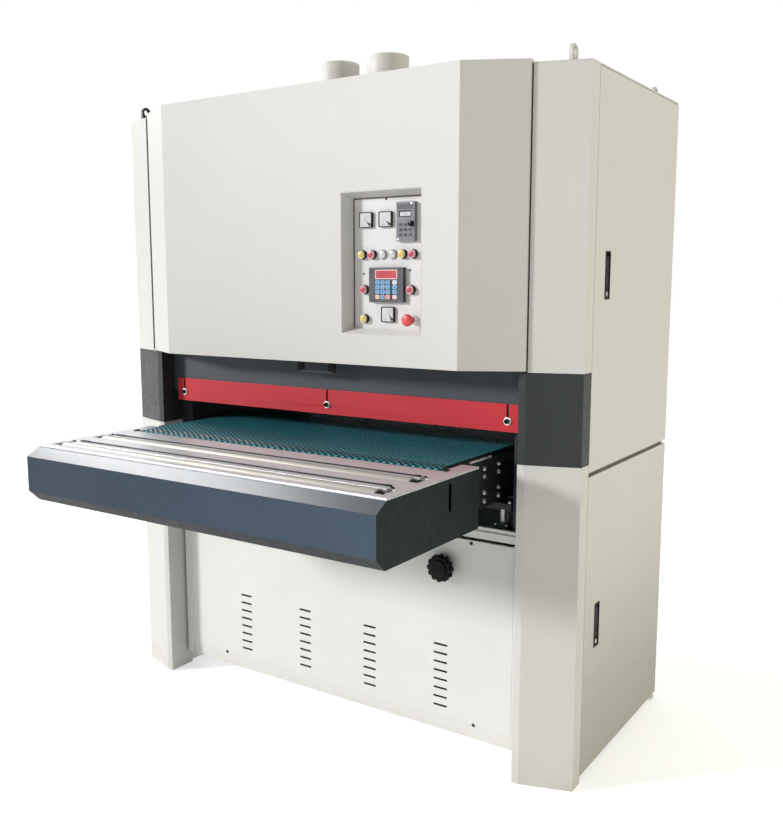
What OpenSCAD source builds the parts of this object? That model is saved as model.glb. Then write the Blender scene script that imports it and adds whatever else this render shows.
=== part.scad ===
// Wide belt sander for panels: folded-sheet cabinet, rise-and-fall feed table,
// two sanding heads, hinged control cabinet and hinged belt-change doors.
// Millimetres. Origin on the floor, in the middle of the machine.
// +X is to the right seen from the infeed side, +Y is the feed direction, +Z is up.

/* [Cabinet] */
// Height of the cabinet roof above the floor
cab_h = 2180; // [2150:1:2220]
// Half of the cabinet's overall width
cab_x = 945; // [940:1:955]
// Rear face of the cabinet
cab_back = 671; // [665:1:690]
// Sheet thickness of the covers
sheet = 3; // [2:0.5:4]
// Top of the dark waist band on the columns
waist_top = 1300; // [1290:1:1310]
// Bottom of the dark waist band on the columns
waist_bot = 1022; // [1010:1:1030]
// Height of the seam between the two right doors
seam_z = 989; // [980:1:1000]
// Width of that seam
seam_gap = 14; // [8:1:18]
// Top of the base deck that carries the lifting screws
deck_z = 785; // [780:1:788]

/* [Front cabinet] */
// Front face of the control cabinet
hood_y = -280; // [-290:1:-270]
// Half width of its flat front
hood_flat_x = 610; // [600:1:620]
// Half width across its splayed sides
hood_edge_x = 786; // [784:1:786]
// Y of the edges of the splayed sides
hood_edge_y = -187; // [-189:1:-185]
// Top edge of the control cabinet, a little above the roof
hood_top = 2188; // [2180:1:2195]
// Depth of the control panel recess
recess = 48; // [44:1:52]

/* [Sanding heads] */
// Y of the first sanding head
head1_y = 90; // [85:1:95]
// Y of the second sanding head
head2_y = 410; // [400:1:415]
// Axis height of the contact rollers
contact_z = 1206; // [1204:1:1212]
// Axis height of the tension rollers
tension_z = 1900; // [1850:1:1920]
// Radius of the contact and tension rollers
roller_r = 100; // [98:1:102]
// Half width of the abrasive belts
abrasive_x = 650; // [640:1:652]

/* [Feed table] */
// Top of the feed belt
belt_top = 1035; // [1033:1:1037]
// Half width of the feed belt
belt_x = 635; // [625:1:635]
// Radius of the feed belt rollers
feed_r = 60; // [58:1:60]
// Y of the front feed roller
idler_y = -372; // [-374:1:-370]
// Y of the driven feed roller
drive_y = 750; // [740:1:755]
// Front face of the infeed nose, and half of the table's length
nose_y = 832; // [828:1:840]
// Half width of the infeed nose
nose_x = 700; // [698:1:702]
// Radius of the loose infeed rollers
infeed_r = 34; // [32:1:35]

/* [Dust extraction] */
// Outer radius of a dust port
port_r = 73; // [70:1:80]
// Half of the distance between the two ports
port_x = 105.5; // [100:0.5:110]
// Y of the ports
port_y = 105; // [95:1:115]
// Height of a port above the roof
port_h = 153; // [120:1:180]

/* [Hidden] */
$fn = 48;
run = 0.05;                       // radial running clearance of a shaft
slip = 0.3;                       // air between curved faces that move past each other
col_in = 762;                     // inner face of a column
col_f = 786;                      // end of the narrow front strip of a column
col_y = -177;                     // front strip of a column
col_back = -66;                   // back wall of a column
corner_y = -125;                  // front corner of the cabinet side
door_y = -64;                     // front edge of the side doors
panel_y = -96;                    // face of the lower front panel
feed_z = belt_top - 65;           // axis of the feed rollers
abr_t = 2;                        // abrasive belt thickness
pass_z = contact_z - roller_r - slip - abr_t; // sanding line
press_r = 35;
press_z = pass_z + press_r;
press_y = [-50, 550];
motor_z = 230;
pulley_r = 75;
pan_x = 334;                      // middle of the control panel
pan_y = hood_y + recess;          // face of the control panel
ap = [183, 485, 1402, 1844];      // opening of the recess: x0, x1, z0, z1
splay = 15;
row_z = 1650;
dial = [428, 1741];                // small speed dial on the drive keypad
row_x = [for (i = [0:5]) 332 + (i - 2.5) * 38];
push_spots = [[row_x[0], row_z], [row_x[1], row_z], [row_x[4], row_z], [row_x[5], row_z],
    [245, 1541], [420, 1541], [245, 1449], [428, 1449]]; // push buttons, the last is the emergency stop
infeed_y = [-725, -562];          // loose infeed rollers
infeed_z = belt_top - infeed_r;
hinge_h = [-774, -172];           // axis of the control cabinet
hinge_d = [933, 659];             // axis of the right doors
latch_y = 38;
latch_z = [491, 1585];
jack_x = 655;
jack_y = [-45, 455];
knob = [466, 634];
guard_x = [-700, 0, 700];
guard_z = 1141;
bolt_y = [-169, -75];
bolt_z = [996, 971, 920, 894];
eye_x = 880;
eye_y = [-108, 600];
vent_x = [for (i = [0:3]) 14 + (i - 1.5) * 292];
panel_screws = [[-532, 106], [581, 106], [-548, 726], [565, 726]];
shell = [0.90, 0.89, 0.86];
slate = [0.30, 0.34, 0.39];
dark = [0.24, 0.25, 0.26];
steel = [0.72, 0.71, 0.70];
black = [0.06, 0.06, 0.07];
red = [0.80, 0.10, 0.12];
yellow = [0.95, 0.78, 0.10];

// ---- building blocks ----

module bx(x0, x1, y0, y1, z0, z1) {
    translate([x0, y0, z0]) cube([x1 - x0, y1 - y0, z1 - z0]);
}
module along_x(x0, x1, y, z, r, f = $fn) {
    translate([x0, y, z]) rotate([0, 90, 0]) cylinder(h = x1 - x0, r = r, $fn = f);
}
module along_y(y0, y1, x, z, r, f = $fn) {
    translate([x, y0, z]) rotate([-90, 0, 0]) cylinder(h = y1 - y0, r = r, $fn = f);
}
module along_z(z0, z1, x, y, r, f = $fn) {
    translate([x, y, z0]) cylinder(h = z1 - z0, r = r, $fn = f);
}
// outline in the YZ plane, extruded along X
module prism_x(x0, x1, pts) {
    translate([x0, 0, 0]) rotate([90, 0, 90]) linear_extrude(x1 - x0) polygon(pts);
}
// outline in the XY plane, extruded along Z
module prism_z(z0, z1, pts) {
    translate([0, 0, z0]) linear_extrude(z1 - z0) polygon(pts);
}
module both() {
    children();
    mirror([1, 0, 0]) children();
}
// solid with two round ends, axes along X, standing up in Z
module upright_loop(x0, x1, y, z0, z1, r) {
    along_x(x0, x1, y, z0, r);
    along_x(x0, x1, y, z1, r);
    bx(x0, x1, y - r, y + r, z0, z1);
}

// ---- structure ----

module base_frame() color(shell) {
    // floor runners
    both() difference() {
        bx(780, 880, -60, 655, 0, 60);
        bx(786, 874, -61, 656, 6, 54);
    }
    // base pan with its front skirt
    union() {
        bx(-779.5, 779.5, -64, 655, 54, 60);
        bx(-718, 718, -90, -64, 54, 60);
        bx(-718, 718, -93, -90, 58, 99);
    }
    // deck that carries the lifting screws
    difference() {
        bx(-704.9, 704.9, -81, 650, deck_z - 8, deck_z);
        for (y = jack_y) both() along_z(deck_z - 9, deck_z + 1, jack_x, y, 18);
    }
    // front beam of the deck
    difference() {
        bx(-761.5, 761.5, -92, -81.5, 745, deck_z);
        bx(-762, 762, -93, -86, deck_z - 15, deck_z - 6);
    }
}

module side_frames() color(dark) {
    difference() {
        bx(-717, -705, -80, 655, 60, cab_h - 4);
        for (y = [head1_y, head2_y]) {
            along_x(-718, -704, y, contact_z, 30);
            along_x(-718, -704, y, motor_z, 30);
        }
        for (y = press_y) along_x(-718, -704, y, press_z, 12 + run);
    }
    // strips that close the gap to the columns beside the feed opening
    both() bx(717.4, 761.5, -80, -74, 787, 1139);
    // the right plate is cut out so that the abrasive belts can be drawn off
    difference() {
        bx(705, 717, -80, 655, 60, cab_h - 4);
        for (y = [head1_y, head2_y]) upright_loop(704, 718, y, contact_z, tension_z, roller_r + 8);
        for (y = press_y) along_x(704, 718, y, press_z, 12 + run);
    }
}

function slant(x) = col_y + (x - col_f) * (corner_y - col_y) / (cab_x - col_f);

module column_tube(z0, z1) {
    difference() {
        prism_z(z0, z1, [[col_in, col_y], [col_f, col_y], [cab_x, corner_y],
            [cab_x, col_back], [col_in, col_back]]);
        prism_z(z0 - 1, z1 + 1, [[col_in + sheet, col_y + sheet], [col_f - 0.5, col_y + sheet],
            [cab_x - sheet, corner_y + 2], [cab_x - sheet, col_back - sheet],
            [col_in + sheet, col_back - sheet]]);
    }
}
module column_top(xi, z0, z1) {
    difference() {
        prism_z(z0, z1, [[xi, slant(xi)], [cab_x, corner_y], [cab_x, col_back], [xi, col_back]]);
        prism_z(z0 - 1, z1 + 1, [[xi + sheet, slant(xi) + 4], [cab_x - sheet, corner_y + 2],
            [cab_x - sheet, col_back - sheet], [xi + sheet, col_back - sheet]]);
    }
}
module column_covers() color(shell) {
    both() column_tube(0, waist_bot);
    column_top(790, waist_top, cab_h - 4);
    mirror([1, 0, 0]) column_top(799, waist_top, cab_h - 4);
}
module waist_covers() color(dark) both() {
    column_tube(waist_bot, waist_top - 3);
    prism_z(waist_top - 3, waist_top, [[col_in, col_y], [col_f, col_y], [cab_x, corner_y],
        [cab_x, col_back], [col_in, col_back]]);
}

module roof_panel() color(shell) difference() {
    prism_z(cab_h - 4, cab_h, [[-cab_x, corner_y], [-799, slant(799)], [-799, -152], [790, -152],
        [790, slant(790)], [cab_x, corner_y], [cab_x, cab_back], [-cab_x, cab_back]]);
    for (s = [-1, 1]) along_z(cab_h - 5, cab_h + 1, s * port_x, port_y, port_r - 3);
}

module dust_ports() color(shell) both() difference() {
    union() {
        along_z(cab_h, cab_h + port_h, port_x, port_y, port_r);
        along_z(cab_h, cab_h + 4, port_x, port_y, port_r + 9);
    }
    along_z(cab_h - 1, cab_h + port_h + 1, port_x, port_y, port_r - 3);
}

module lifting_eyes() color(steel) for (y = eye_y) both() difference() {
    union() {
        along_z(cab_h, cab_h + 6, eye_x, y, 17);
        bx(eye_x - 6, eye_x + 6, y - 10, y + 10, cab_h + 3, cab_h + 22);
        along_x(eye_x - 6, eye_x + 6, y, cab_h + 30, 22);
    }
    along_x(eye_x - 7, eye_x + 7, y, cab_h + 30, 12);
}

module lower_front_panel() color(shell) difference() {
    union() {
        bx(-718, 718, panel_y, panel_y + 3, 101, 736);
        both() bx(715, 718, panel_y + 3, -80, 101, 736);
        bx(-715, 715, panel_y + 3, -84, 733, 736);
    }
    for (x = vent_x) for (i = [0:7])
        bx(x - 26, x + 26, panel_y - 1, panel_y + 4, 139 + i * 30.8, 146 + i * 30.8);
    along_y(panel_y - 1, panel_y + 4, knob[0], knob[1], 8 + run);
}

module cover_fasteners() color(steel) {
    for (p = panel_screws) along_y(panel_y - 4, panel_y, p[0], p[1], 5.5);
    for (x = guard_x) {
        difference() {
            union() {
                along_y(-121.4, -115, x, guard_z, 4);
                along_y(-123.8, -121.4, x, guard_z, 13);
                along_y(-131, -123.8, x, guard_z, 8);
            }
            along_y(-132, -127, x, guard_z, 4.6, 6);
        }
    }
}

module guard_panels() color(shell) {
    // drive side, bolted covers
    for (zz = [[24, seam_z - seam_gap / 2], [seam_z + seam_gap / 2, cab_h - 8]])
        mirror([1, 0, 0]) door_skin(zz[0], zz[1]);
    // rear covers around the outfeed opening
    bx(-912, 912, cab_back - 3, cab_back, 1150, cab_h - 8);
    bx(-912, 912, cab_back - 3, cab_back, 66, 815);
    both() bx(720, 912, cab_back - 3, cab_back, 816, 1149);
}

module front_crossbeam() color(dark) {
    bx(-761.9, 761.9, -115, -95, 1140, waist_top);
    // pull handle under the control cabinet: a shelf and a bar between two legs
    bx(-80, 80, -180, -115, waist_top - 6, waist_top);
    difference() {
        bx(-80, 80, -180, -174, waist_top - 42, waist_top - 6);
        bx(-55, 52, -181, -173, waist_top - 34, waist_top - 6);
    }
}

// ---- sanding heads ----

module head_beam(y) difference() {
    union() {
        bx(-705, 690, y - 45, y + 45, 1380, 1720);
        bx(-685, -665, y - 40, y + 40, contact_z - 45, tension_z + 45);
        bx(665, 685, y - 40, y + 40, contact_z - 45, tension_z + 45);
    }
    bx(-660, 691, y - 35, y + 35, 1390, 1710);
    along_x(-706, 691, y, contact_z, 20 + run);
    along_x(-706, 691, y, tension_z, 20 + run);
}
module head_beams() color(slate) {
    head_beam(head1_y);
    head_beam(head2_y);
}
module sanding_belts() color([0.45, 0.28, 0.18]) for (y = [head1_y, head2_y]) difference() {
    upright_loop(-abrasive_x, abrasive_x, y, contact_z, tension_z, roller_r + slip + abr_t);
    upright_loop(-abrasive_x - 1, abrasive_x + 1, y, contact_z, tension_z, roller_r + slip);
}
module contact_roller(y) color(black) {
    along_x(-655, 655, y, contact_z, roller_r);
    along_x(655, 689, y, contact_z, 20);
    along_x(-745, -655, y, contact_z, 20);
    along_x(-800, -745, y, contact_z, pulley_r);
}
module contact_roller_1() contact_roller(head1_y);
module contact_roller_2() contact_roller(head2_y);
module tension_roller(y) color(steel) {
    along_x(-655, 655, y, tension_z, roller_r);
    both() along_x(655, 689, y, tension_z, 20);
}
module tension_roller_1() tension_roller(head1_y);
module tension_roller_2() tension_roller(head2_y);

module pressure_roller(y) color(black) {
    along_x(-690, 690, y, press_z, press_r);
    both() along_x(690, 716, y, press_z, 12);
}
module pressure_roller_front() pressure_roller(press_y[0]);
module pressure_roller_rear() pressure_roller(press_y[1]);

module main_motors() color([0.25, 0.33, 0.42]) for (y = [head1_y, head2_y]) difference() {
    union() {
        along_x(-540, -500, y, motor_z, 132);
        along_x(-500, -160, y, motor_z, 122);
        along_x(-160, -110, y, motor_z, 128);
        for (i = [0:9]) along_x(-490 + i * 34, -484 + i * 34, y, motor_z, 130);
        bx(-460, -200, y - 105, y + 105, 60, 110);
        bx(-420, -240, y - 60, y + 60, motor_z + 100, motor_z + 165);
    }
    along_x(-541, -495, y, motor_z, 19 + run);
}
module motor_pulley(y) color(steel) {
    along_x(-800, -745, y, motor_z, pulley_r);
    along_x(-745, -497, y, motor_z, 19);
}
module motor_pulley_1() motor_pulley(head1_y);
module motor_pulley_2() motor_pulley(head2_y);
module drive_belts() color(black) for (y = [head1_y, head2_y]) difference() {
    upright_loop(-796, -749, y, motor_z, contact_z, pulley_r + 9);
    upright_loop(-797, -748, y, motor_z, contact_z, pulley_r + slip);
}

// ---- front guard and variator knob ----

module limit_bar() color(red) difference() {
    bx(-738, 738, -121, -115.4, 1107, 1194);
    // slots, open at the top, that let the bar be lowered on its bolts
    for (x = guard_x) {
        bx(x - 4.3, x + 4.3, -122, -115, guard_z, 1195);
        along_y(-122, -115, x, guard_z, 4.3);
    }
}
module speed_knob() color(black) {
    along_y(-138, -112, knob[0], knob[1], 41);
    for (i = [0:11]) rotate_knob(i * 30);
    along_y(-144, -138, knob[0], knob[1], 30);
    along_y(-112, -102, knob[0], knob[1], 18);
    along_y(-102, -60, knob[0], knob[1], 8);
}
module rotate_knob(a) along_y(-138, -112, knob[0] + 39 * cos(a), knob[1] + 39 * sin(a), 7.5);

// ---- control cabinet ----

module hood_outline(z0, z1, d) prism_z(z0, z1, [[-hood_edge_x + d, hood_edge_y + d * 0.6],
    [-hood_flat_x + d * 0.3, hood_y + d], [hood_flat_x - d * 0.3, hood_y + d],
    [hood_edge_x - d, hood_edge_y + d * 0.6], [hood_edge_x - d, -167 + (d > 0 ? 1 : 0)],
    [-hood_edge_x + d, -167 + (d > 0 ? 1 : 0)]]);

module front_hood() color(shell) difference() {
    union() {
        difference() {
            hood_outline(waist_top + 4, hood_top, 0);
            hood_outline(waist_top + 4 + sheet, hood_top - sheet, sheet);
            // recess opening
            bx(ap[0], ap[1], hood_y - 1, hood_y + 5, ap[2], ap[3]);
            // room for the top hinge bracket
            bx(-800, -760, -184, -160, cab_h - 42, cab_h - 8);
        }
        for (z = [1340, 1700, 2060]) {
            along_z(z, z + 60, hinge_h[0], hinge_h[1], 10);
            prism_z(z, z + 60, [[hinge_h[0] - 6, hinge_h[1] - 8], [hinge_h[0] - 5, hinge_h[1] - 15],
                [hinge_h[0] + 8, hinge_h[1] - 22], [hinge_h[0] + 7, hinge_h[1] - 7]]);
        }
    }
    along_z(waist_top, cab_h - 10, hinge_h[0], hinge_h[1], 6 + run);
}

// splayed recess that carries the instruments
module recess_shape(d) hull() {
    bx(ap[0] + d, ap[1] - d, hood_y, hood_y + 0.5, ap[2] + d, ap[3] - d);
    bx(ap[0] + splay + d, ap[1] - splay - d, pan_y - 0.5, pan_y, ap[2] + splay + d, ap[3] - splay - d);
}
module control_panel() color([0.93, 0.93, 0.92]) difference() {
    union() {
        difference() {
            recess_shape(0.2);
            recess_shape(2.2);
        }
        bx(ap[0] + splay - 8, ap[1] - splay + 8, pan_y, pan_y + 3, ap[2] + splay - 8, ap[3] - splay + 8);
    }
    for (p = push_spots) along_y(pan_y - 1, pan_y + 4, p[0], p[1], 11.5);
}

module panel_meters() color(black) for (p = [[252, 1758], [326, 1758], [335, 1464]]) {
    difference() {
        bx(p[0] - 24, p[0] + 24, pan_y - 10, pan_y, p[1] - 24, p[1] + 24);
        bx(p[0] - 20, p[0] + 20, pan_y - 11, pan_y - 7, p[1] - 8, p[1] + 20);
    }
}
module drive_keypad() color([0.45, 0.46, 0.48]) difference() {
    bx(372, 438, pan_y - 14, pan_y, 1689, 1807);
    bx(380, 426, pan_y - 15, pan_y - 11, 1762, 1781);
    along_y(pan_y - 15, pan_y - 2, dial[0], dial[1], 3 + run);
}
module speed_dial() color(black) {
    along_y(pan_y - 26, pan_y - 14.5, dial[0], dial[1], 8.5);
    along_y(pan_y - 14.5, pan_y - 3, dial[0], dial[1], 3);
    bx(dial[0] - 1, dial[0] + 1, pan_y - 27, pan_y - 25.5, dial[1] + 1, dial[1] + 8);
}
module thickness_controller() color([0.25, 0.26, 0.28]) difference() {
    bx(270, 398, pan_y - 16, pan_y, 1502, 1610);
    bx(280, 388, pan_y - 17, pan_y - 13, 1578, 1603);
}
module indicator_lamps() color([0.95, 0.95, 0.95]) for (i = [2, 3]) {
    along_y(pan_y - 5, pan_y, row_x[i], row_z, 15);
    along_y(pan_y - 12, pan_y - 5, row_x[i], row_z, 11.5);
}
module button_collars() color(steel) for (p = push_spots) difference() {
    union() {
        along_y(pan_y - 4, pan_y, p[0], p[1], 15);
        along_y(pan_y - 14, pan_y - 4, p[0], p[1], 13.5);
    }
    along_y(pan_y - 15, pan_y + 1, p[0], p[1], 11 + run);
}
module push_button(p) {
    along_y(pan_y - 18, pan_y + 7, p[0], p[1], 11);
    along_y(pan_y + 7, pan_y + 10, p[0], p[1], 14);
}
module head_1_start_button() color(yellow) push_button(push_spots[0]);
module head_1_stop_button() color(red) push_button(push_spots[1]);
module head_2_start_button() color(yellow) push_button(push_spots[2]);
module head_2_stop_button() color(red) push_button(push_spots[3]);
module table_up_button() color(red) push_button(push_spots[4]);
module table_down_button() color(red) push_button(push_spots[5]);
module feed_start_button() color(yellow) push_button(push_spots[6]);
module emergency_stop() color(red) {
    along_y(pan_y - 47, pan_y - 33, push_spots[7][0], push_spots[7][1], 19);
    along_y(pan_y - 33, pan_y + 7, push_spots[7][0], push_spots[7][1], 11);
    along_y(pan_y + 7, pan_y + 10, push_spots[7][0], push_spots[7][1], 14);
}

// ---- right doors ----

module door_skin(z0, z1) {
    bx(cab_x - sheet, cab_x, door_y, cab_back, z0, z1);
    bx(925, cab_x - sheet, door_y, door_y + sheet, z0, z1);
    bx(922, cab_x - sheet, cab_back - sheet, cab_back, z0, z1);
    bx(925, cab_x - sheet, door_y + sheet, cab_back - sheet, z0, z0 + sheet);
    bx(925, cab_x - sheet, door_y + sheet, cab_back - sheet, z1 - sheet, z1);
}
module door(z0, z1, lz) difference() {
    union() {
        door_skin(z0, z1);
        for (z = [z0 + 60, (z0 + z1) / 2 - 30, z1 - 120]) {
            along_z(z, z + 60, hinge_d[0], hinge_d[1], 10);
            bx(hinge_d[0], cab_x - 1, hinge_d[1] - 5, hinge_d[1] + 5, z, z + 60);
        }
    }
    along_z(z0 - 1, z1 + 1, hinge_d[0], hinge_d[1], 6 + run);
    bx(cab_x - 5, cab_x + 1, latch_y - 18.6, latch_y + 18.6, lz - 70.1, lz + 70.1);
}
module right_lower_door() color(shell) door(24, seam_z - seam_gap / 2, latch_z[0]);
module right_upper_door() color(shell) door(seam_z + seam_gap / 2, cab_h - 8, latch_z[1]);

module hinge_rods() color(steel) {
    // control cabinet: stands on the left waist cover, held by a bracket at the top
    union() {
        along_z(waist_top, cab_h - 18, hinge_h[0], hinge_h[1], 6);
        bx(hinge_h[0] - 4, hinge_h[0] + 12, hinge_h[1] - 3, -140, cab_h - 28, cab_h - 20);
        bx(hinge_h[0] - 4, hinge_h[0] + 12, -152, -140, cab_h - 28, cab_h - 4);
    }
    // right doors: stands on a foot plate, reaches the roof
    union() {
        along_z(10, cab_h - 4, hinge_d[0], hinge_d[1], 6);
        bx(890, 944, 640, 667, 0, 12);
    }
}

module latch_pan(lz) difference() {
    union() {
        difference() {
            bx(922, cab_x, latch_y - 18.5, latch_y + 18.5, lz - 70, lz + 70);
            bx(924, cab_x + 1, latch_y - 15.5, latch_y + 15.5, lz - 66, lz + 66);
        }
        along_x(923, cab_x - 2, latch_y, lz - 56, 9);
        along_y(latch_y - 16, latch_y + 16, 936, lz + 56, 3);
    }
    bx(cab_x - 4, cab_x + 1, latch_y - 0.8, latch_y + 0.8, lz - 60, lz - 52);
}
module upper_latch_pan() color(black) latch_pan(latch_z[1]);
module lower_latch_pan() color(black) latch_pan(latch_z[0]);
module latch_handle(lz) difference() {
    union() {
        bx(935, cab_x - 0.5, latch_y - 13.5, latch_y + 13.5, lz - 42, lz + 56);
        along_y(latch_y - 13.5, latch_y + 13.5, 936, lz + 56, 7);
    }
    along_y(latch_y - 20, latch_y + 20, 936, lz + 56, 3 + run);
    bx(934, 939, latch_y - 8, latch_y + 8, lz - 43, lz - 4);
}
module upper_latch_handle() color(black) latch_handle(latch_z[1]);
module lower_latch_handle() color(black) latch_handle(latch_z[0]);

// ---- feed table ----

module table_bed() color(dark) difference() {
    union() {
        both() {
            bx(638, 648, -484, nose_y, 872, 1023);
            for (y = jack_y) bx(610, 700, y - 40, y + 40, 850, 872);
        }
        bx(-638, 638, -310, 690, 1016, 1029);
        bx(-638, 638, -5, 25, 930, 1000);
        bx(-638, 638, 430, 460, 930, 1000);
        bx(-638, 638, 826, nose_y, 900, 1015);
    }
    for (y = [idler_y, drive_y]) along_x(-660, 660, y, feed_z, 15 + run);
}

module nose_end(x0, x1) difference() {
    prism_x(x0, x1, [[-785, 1023], [-nose_y, 996], [-nose_y, 880], [-793, 843], [-302, 843], [-302, 1023]]);
    bx(x0 - 1, x1 + 1, -476.5, -461.5, 935, 1004);
    along_x(x0 - 1, x1 + 1, -469, 935, 7.5);
    along_x(x0 - 1, x1 + 1, -469, 1004, 7.5);
}
module infeed_nose() color(slate) difference() {
    union() {
        both() nose_end(nose_x - 6, nose_x);
        prism_x(-nose_x + 6, nose_x - 6, [[-785, 1023], [-nose_y, 996], [-nose_y, 880], [-793, 843], [-700, 843],
            [-700, 846], [-791.8, 846], [-nose_y + 3, 881.3], [-nose_y + 3, 994.3], [-785, 1019.6]]);
        bx(-nose_x + 6, nose_x - 6, -490, -484, 850, 1010);
        both() for (y = infeed_y) bx(656, nose_x - 6, y - 26, y + 26, 970, 1016);
    }
    both() for (y = infeed_y) along_x(650, 692, y, infeed_z, 10 + run);
}
module infeed_plate() color(steel) difference() {
    prism_z(1023, 1029, [[-nose_x, -785], [nose_x, -785], [nose_x, -302], [641, -302], [641, -416],
        [-641, -416], [-641, -302], [-nose_x, -302]]);
    for (y = infeed_y) bx(-668, 668, y - 28, y + 28, 1022, 1030);
}
module feed_loop(hw, r) {
    along_x(-hw, hw, idler_y, feed_z, r);
    along_x(-hw, hw, drive_y, feed_z, r);
    bx(-hw, hw, idler_y, drive_y, feed_z - r, feed_z + r);
}
module feed_belt() color([0.10, 0.40, 0.42]) difference() {
    feed_loop(belt_x, 65);
    feed_loop(belt_x + 1, feed_r + slip);
}
module feed_gearmotor() color([0.25, 0.33, 0.42]) difference() {
    union() {
        bx(-735, -648, 700, 800, 905, 1020);
        along_z(760, 905, -693, drive_y, 43);
        along_z(745, 760, -693, drive_y, 40);
    }
    along_x(-701, -647, drive_y, feed_z, 15 + run);
}
module bed_bolts() color(steel) both() for (y = bolt_y) for (z = bolt_z)
    along_x(648, 656, y, z, 8.5, 6);
module jack_screws() color(steel) for (y = jack_y) both() along_z(640, 850, jack_x, y, 13);
module jack_housings() color(dark) for (y = jack_y) both() difference() {
    union() {
        along_z(deck_z, deck_z + 8, jack_x, y, 32);
        along_z(deck_z + 8, deck_z + 17, jack_x, y, 23);
    }
    along_z(deck_z - 1, deck_z + 20, jack_x, y, 13 + run);
}

module feed_drive_roller() color(black) {
    along_x(-632, 632, drive_y, feed_z, feed_r);
    along_x(632, 660, drive_y, feed_z, 15);
    along_x(-700, -632, drive_y, feed_z, 15);
}
module feed_idler_roller() color(steel) {
    along_x(-632, 632, idler_y, feed_z, feed_r);
    both() along_x(632, 660, idler_y, feed_z, 15);
}
module infeed_roller(y) color(steel) {
    along_x(-640, 640, y, infeed_z, infeed_r);
    both() along_x(640, 690, y, infeed_z, 10);
}
module infeed_roller_front() infeed_roller(infeed_y[0]);
module infeed_roller_rear() infeed_roller(infeed_y[1]);

base_frame();
side_frames();
column_covers();
waist_covers();
roof_panel();
dust_ports();
lifting_eyes();
lower_front_panel();
cover_fasteners();
guard_panels();
front_crossbeam();
head_beams();
sanding_belts();
main_motors();
drive_belts();
jack_housings();
hinge_rods();
contact_roller_1();
contact_roller_2();
tension_roller_1();
tension_roller_2();
motor_pulley_1();
motor_pulley_2();
pressure_roller_front();
pressure_roller_rear();
limit_bar();
speed_knob();
front_hood();
control_panel();
panel_meters();
drive_keypad();
thickness_controller();
indicator_lamps();
button_collars();
head_1_start_button();
head_1_stop_button();
head_2_start_button();
head_2_stop_button();
table_up_button();
table_down_button();
feed_start_button();
emergency_stop();
speed_dial();
right_upper_door();
right_lower_door();
upper_latch_pan();
lower_latch_pan();
upper_latch_handle();
lower_latch_handle();
table_bed();
infeed_nose();
infeed_plate();
feed_belt();
feed_gearmotor();
bed_bolts();
jack_screws();
feed_drive_roller();
feed_idler_roller();
infeed_roller_front();
infeed_roller_rear();
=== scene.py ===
import math

import bmesh
import bpy
import numpy as np
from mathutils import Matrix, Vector


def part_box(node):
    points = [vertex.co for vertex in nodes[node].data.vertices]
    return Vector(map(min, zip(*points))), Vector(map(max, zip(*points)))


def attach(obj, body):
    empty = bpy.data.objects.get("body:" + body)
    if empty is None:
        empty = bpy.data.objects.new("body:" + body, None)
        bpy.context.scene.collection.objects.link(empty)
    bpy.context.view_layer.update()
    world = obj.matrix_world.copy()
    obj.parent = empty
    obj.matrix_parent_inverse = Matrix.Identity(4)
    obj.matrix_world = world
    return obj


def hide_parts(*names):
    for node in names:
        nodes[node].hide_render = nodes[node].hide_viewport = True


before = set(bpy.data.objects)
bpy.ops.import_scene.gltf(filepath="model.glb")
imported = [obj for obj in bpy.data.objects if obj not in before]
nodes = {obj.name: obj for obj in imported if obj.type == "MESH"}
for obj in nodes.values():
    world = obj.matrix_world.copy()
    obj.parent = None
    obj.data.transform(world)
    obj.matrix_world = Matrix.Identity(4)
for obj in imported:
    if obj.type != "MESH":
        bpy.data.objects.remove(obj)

MM = 0.001
TAU = 2 * math.pi
scene = bpy.context.scene
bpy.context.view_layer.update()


# ------------------------------------------------------------------ materials

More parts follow.
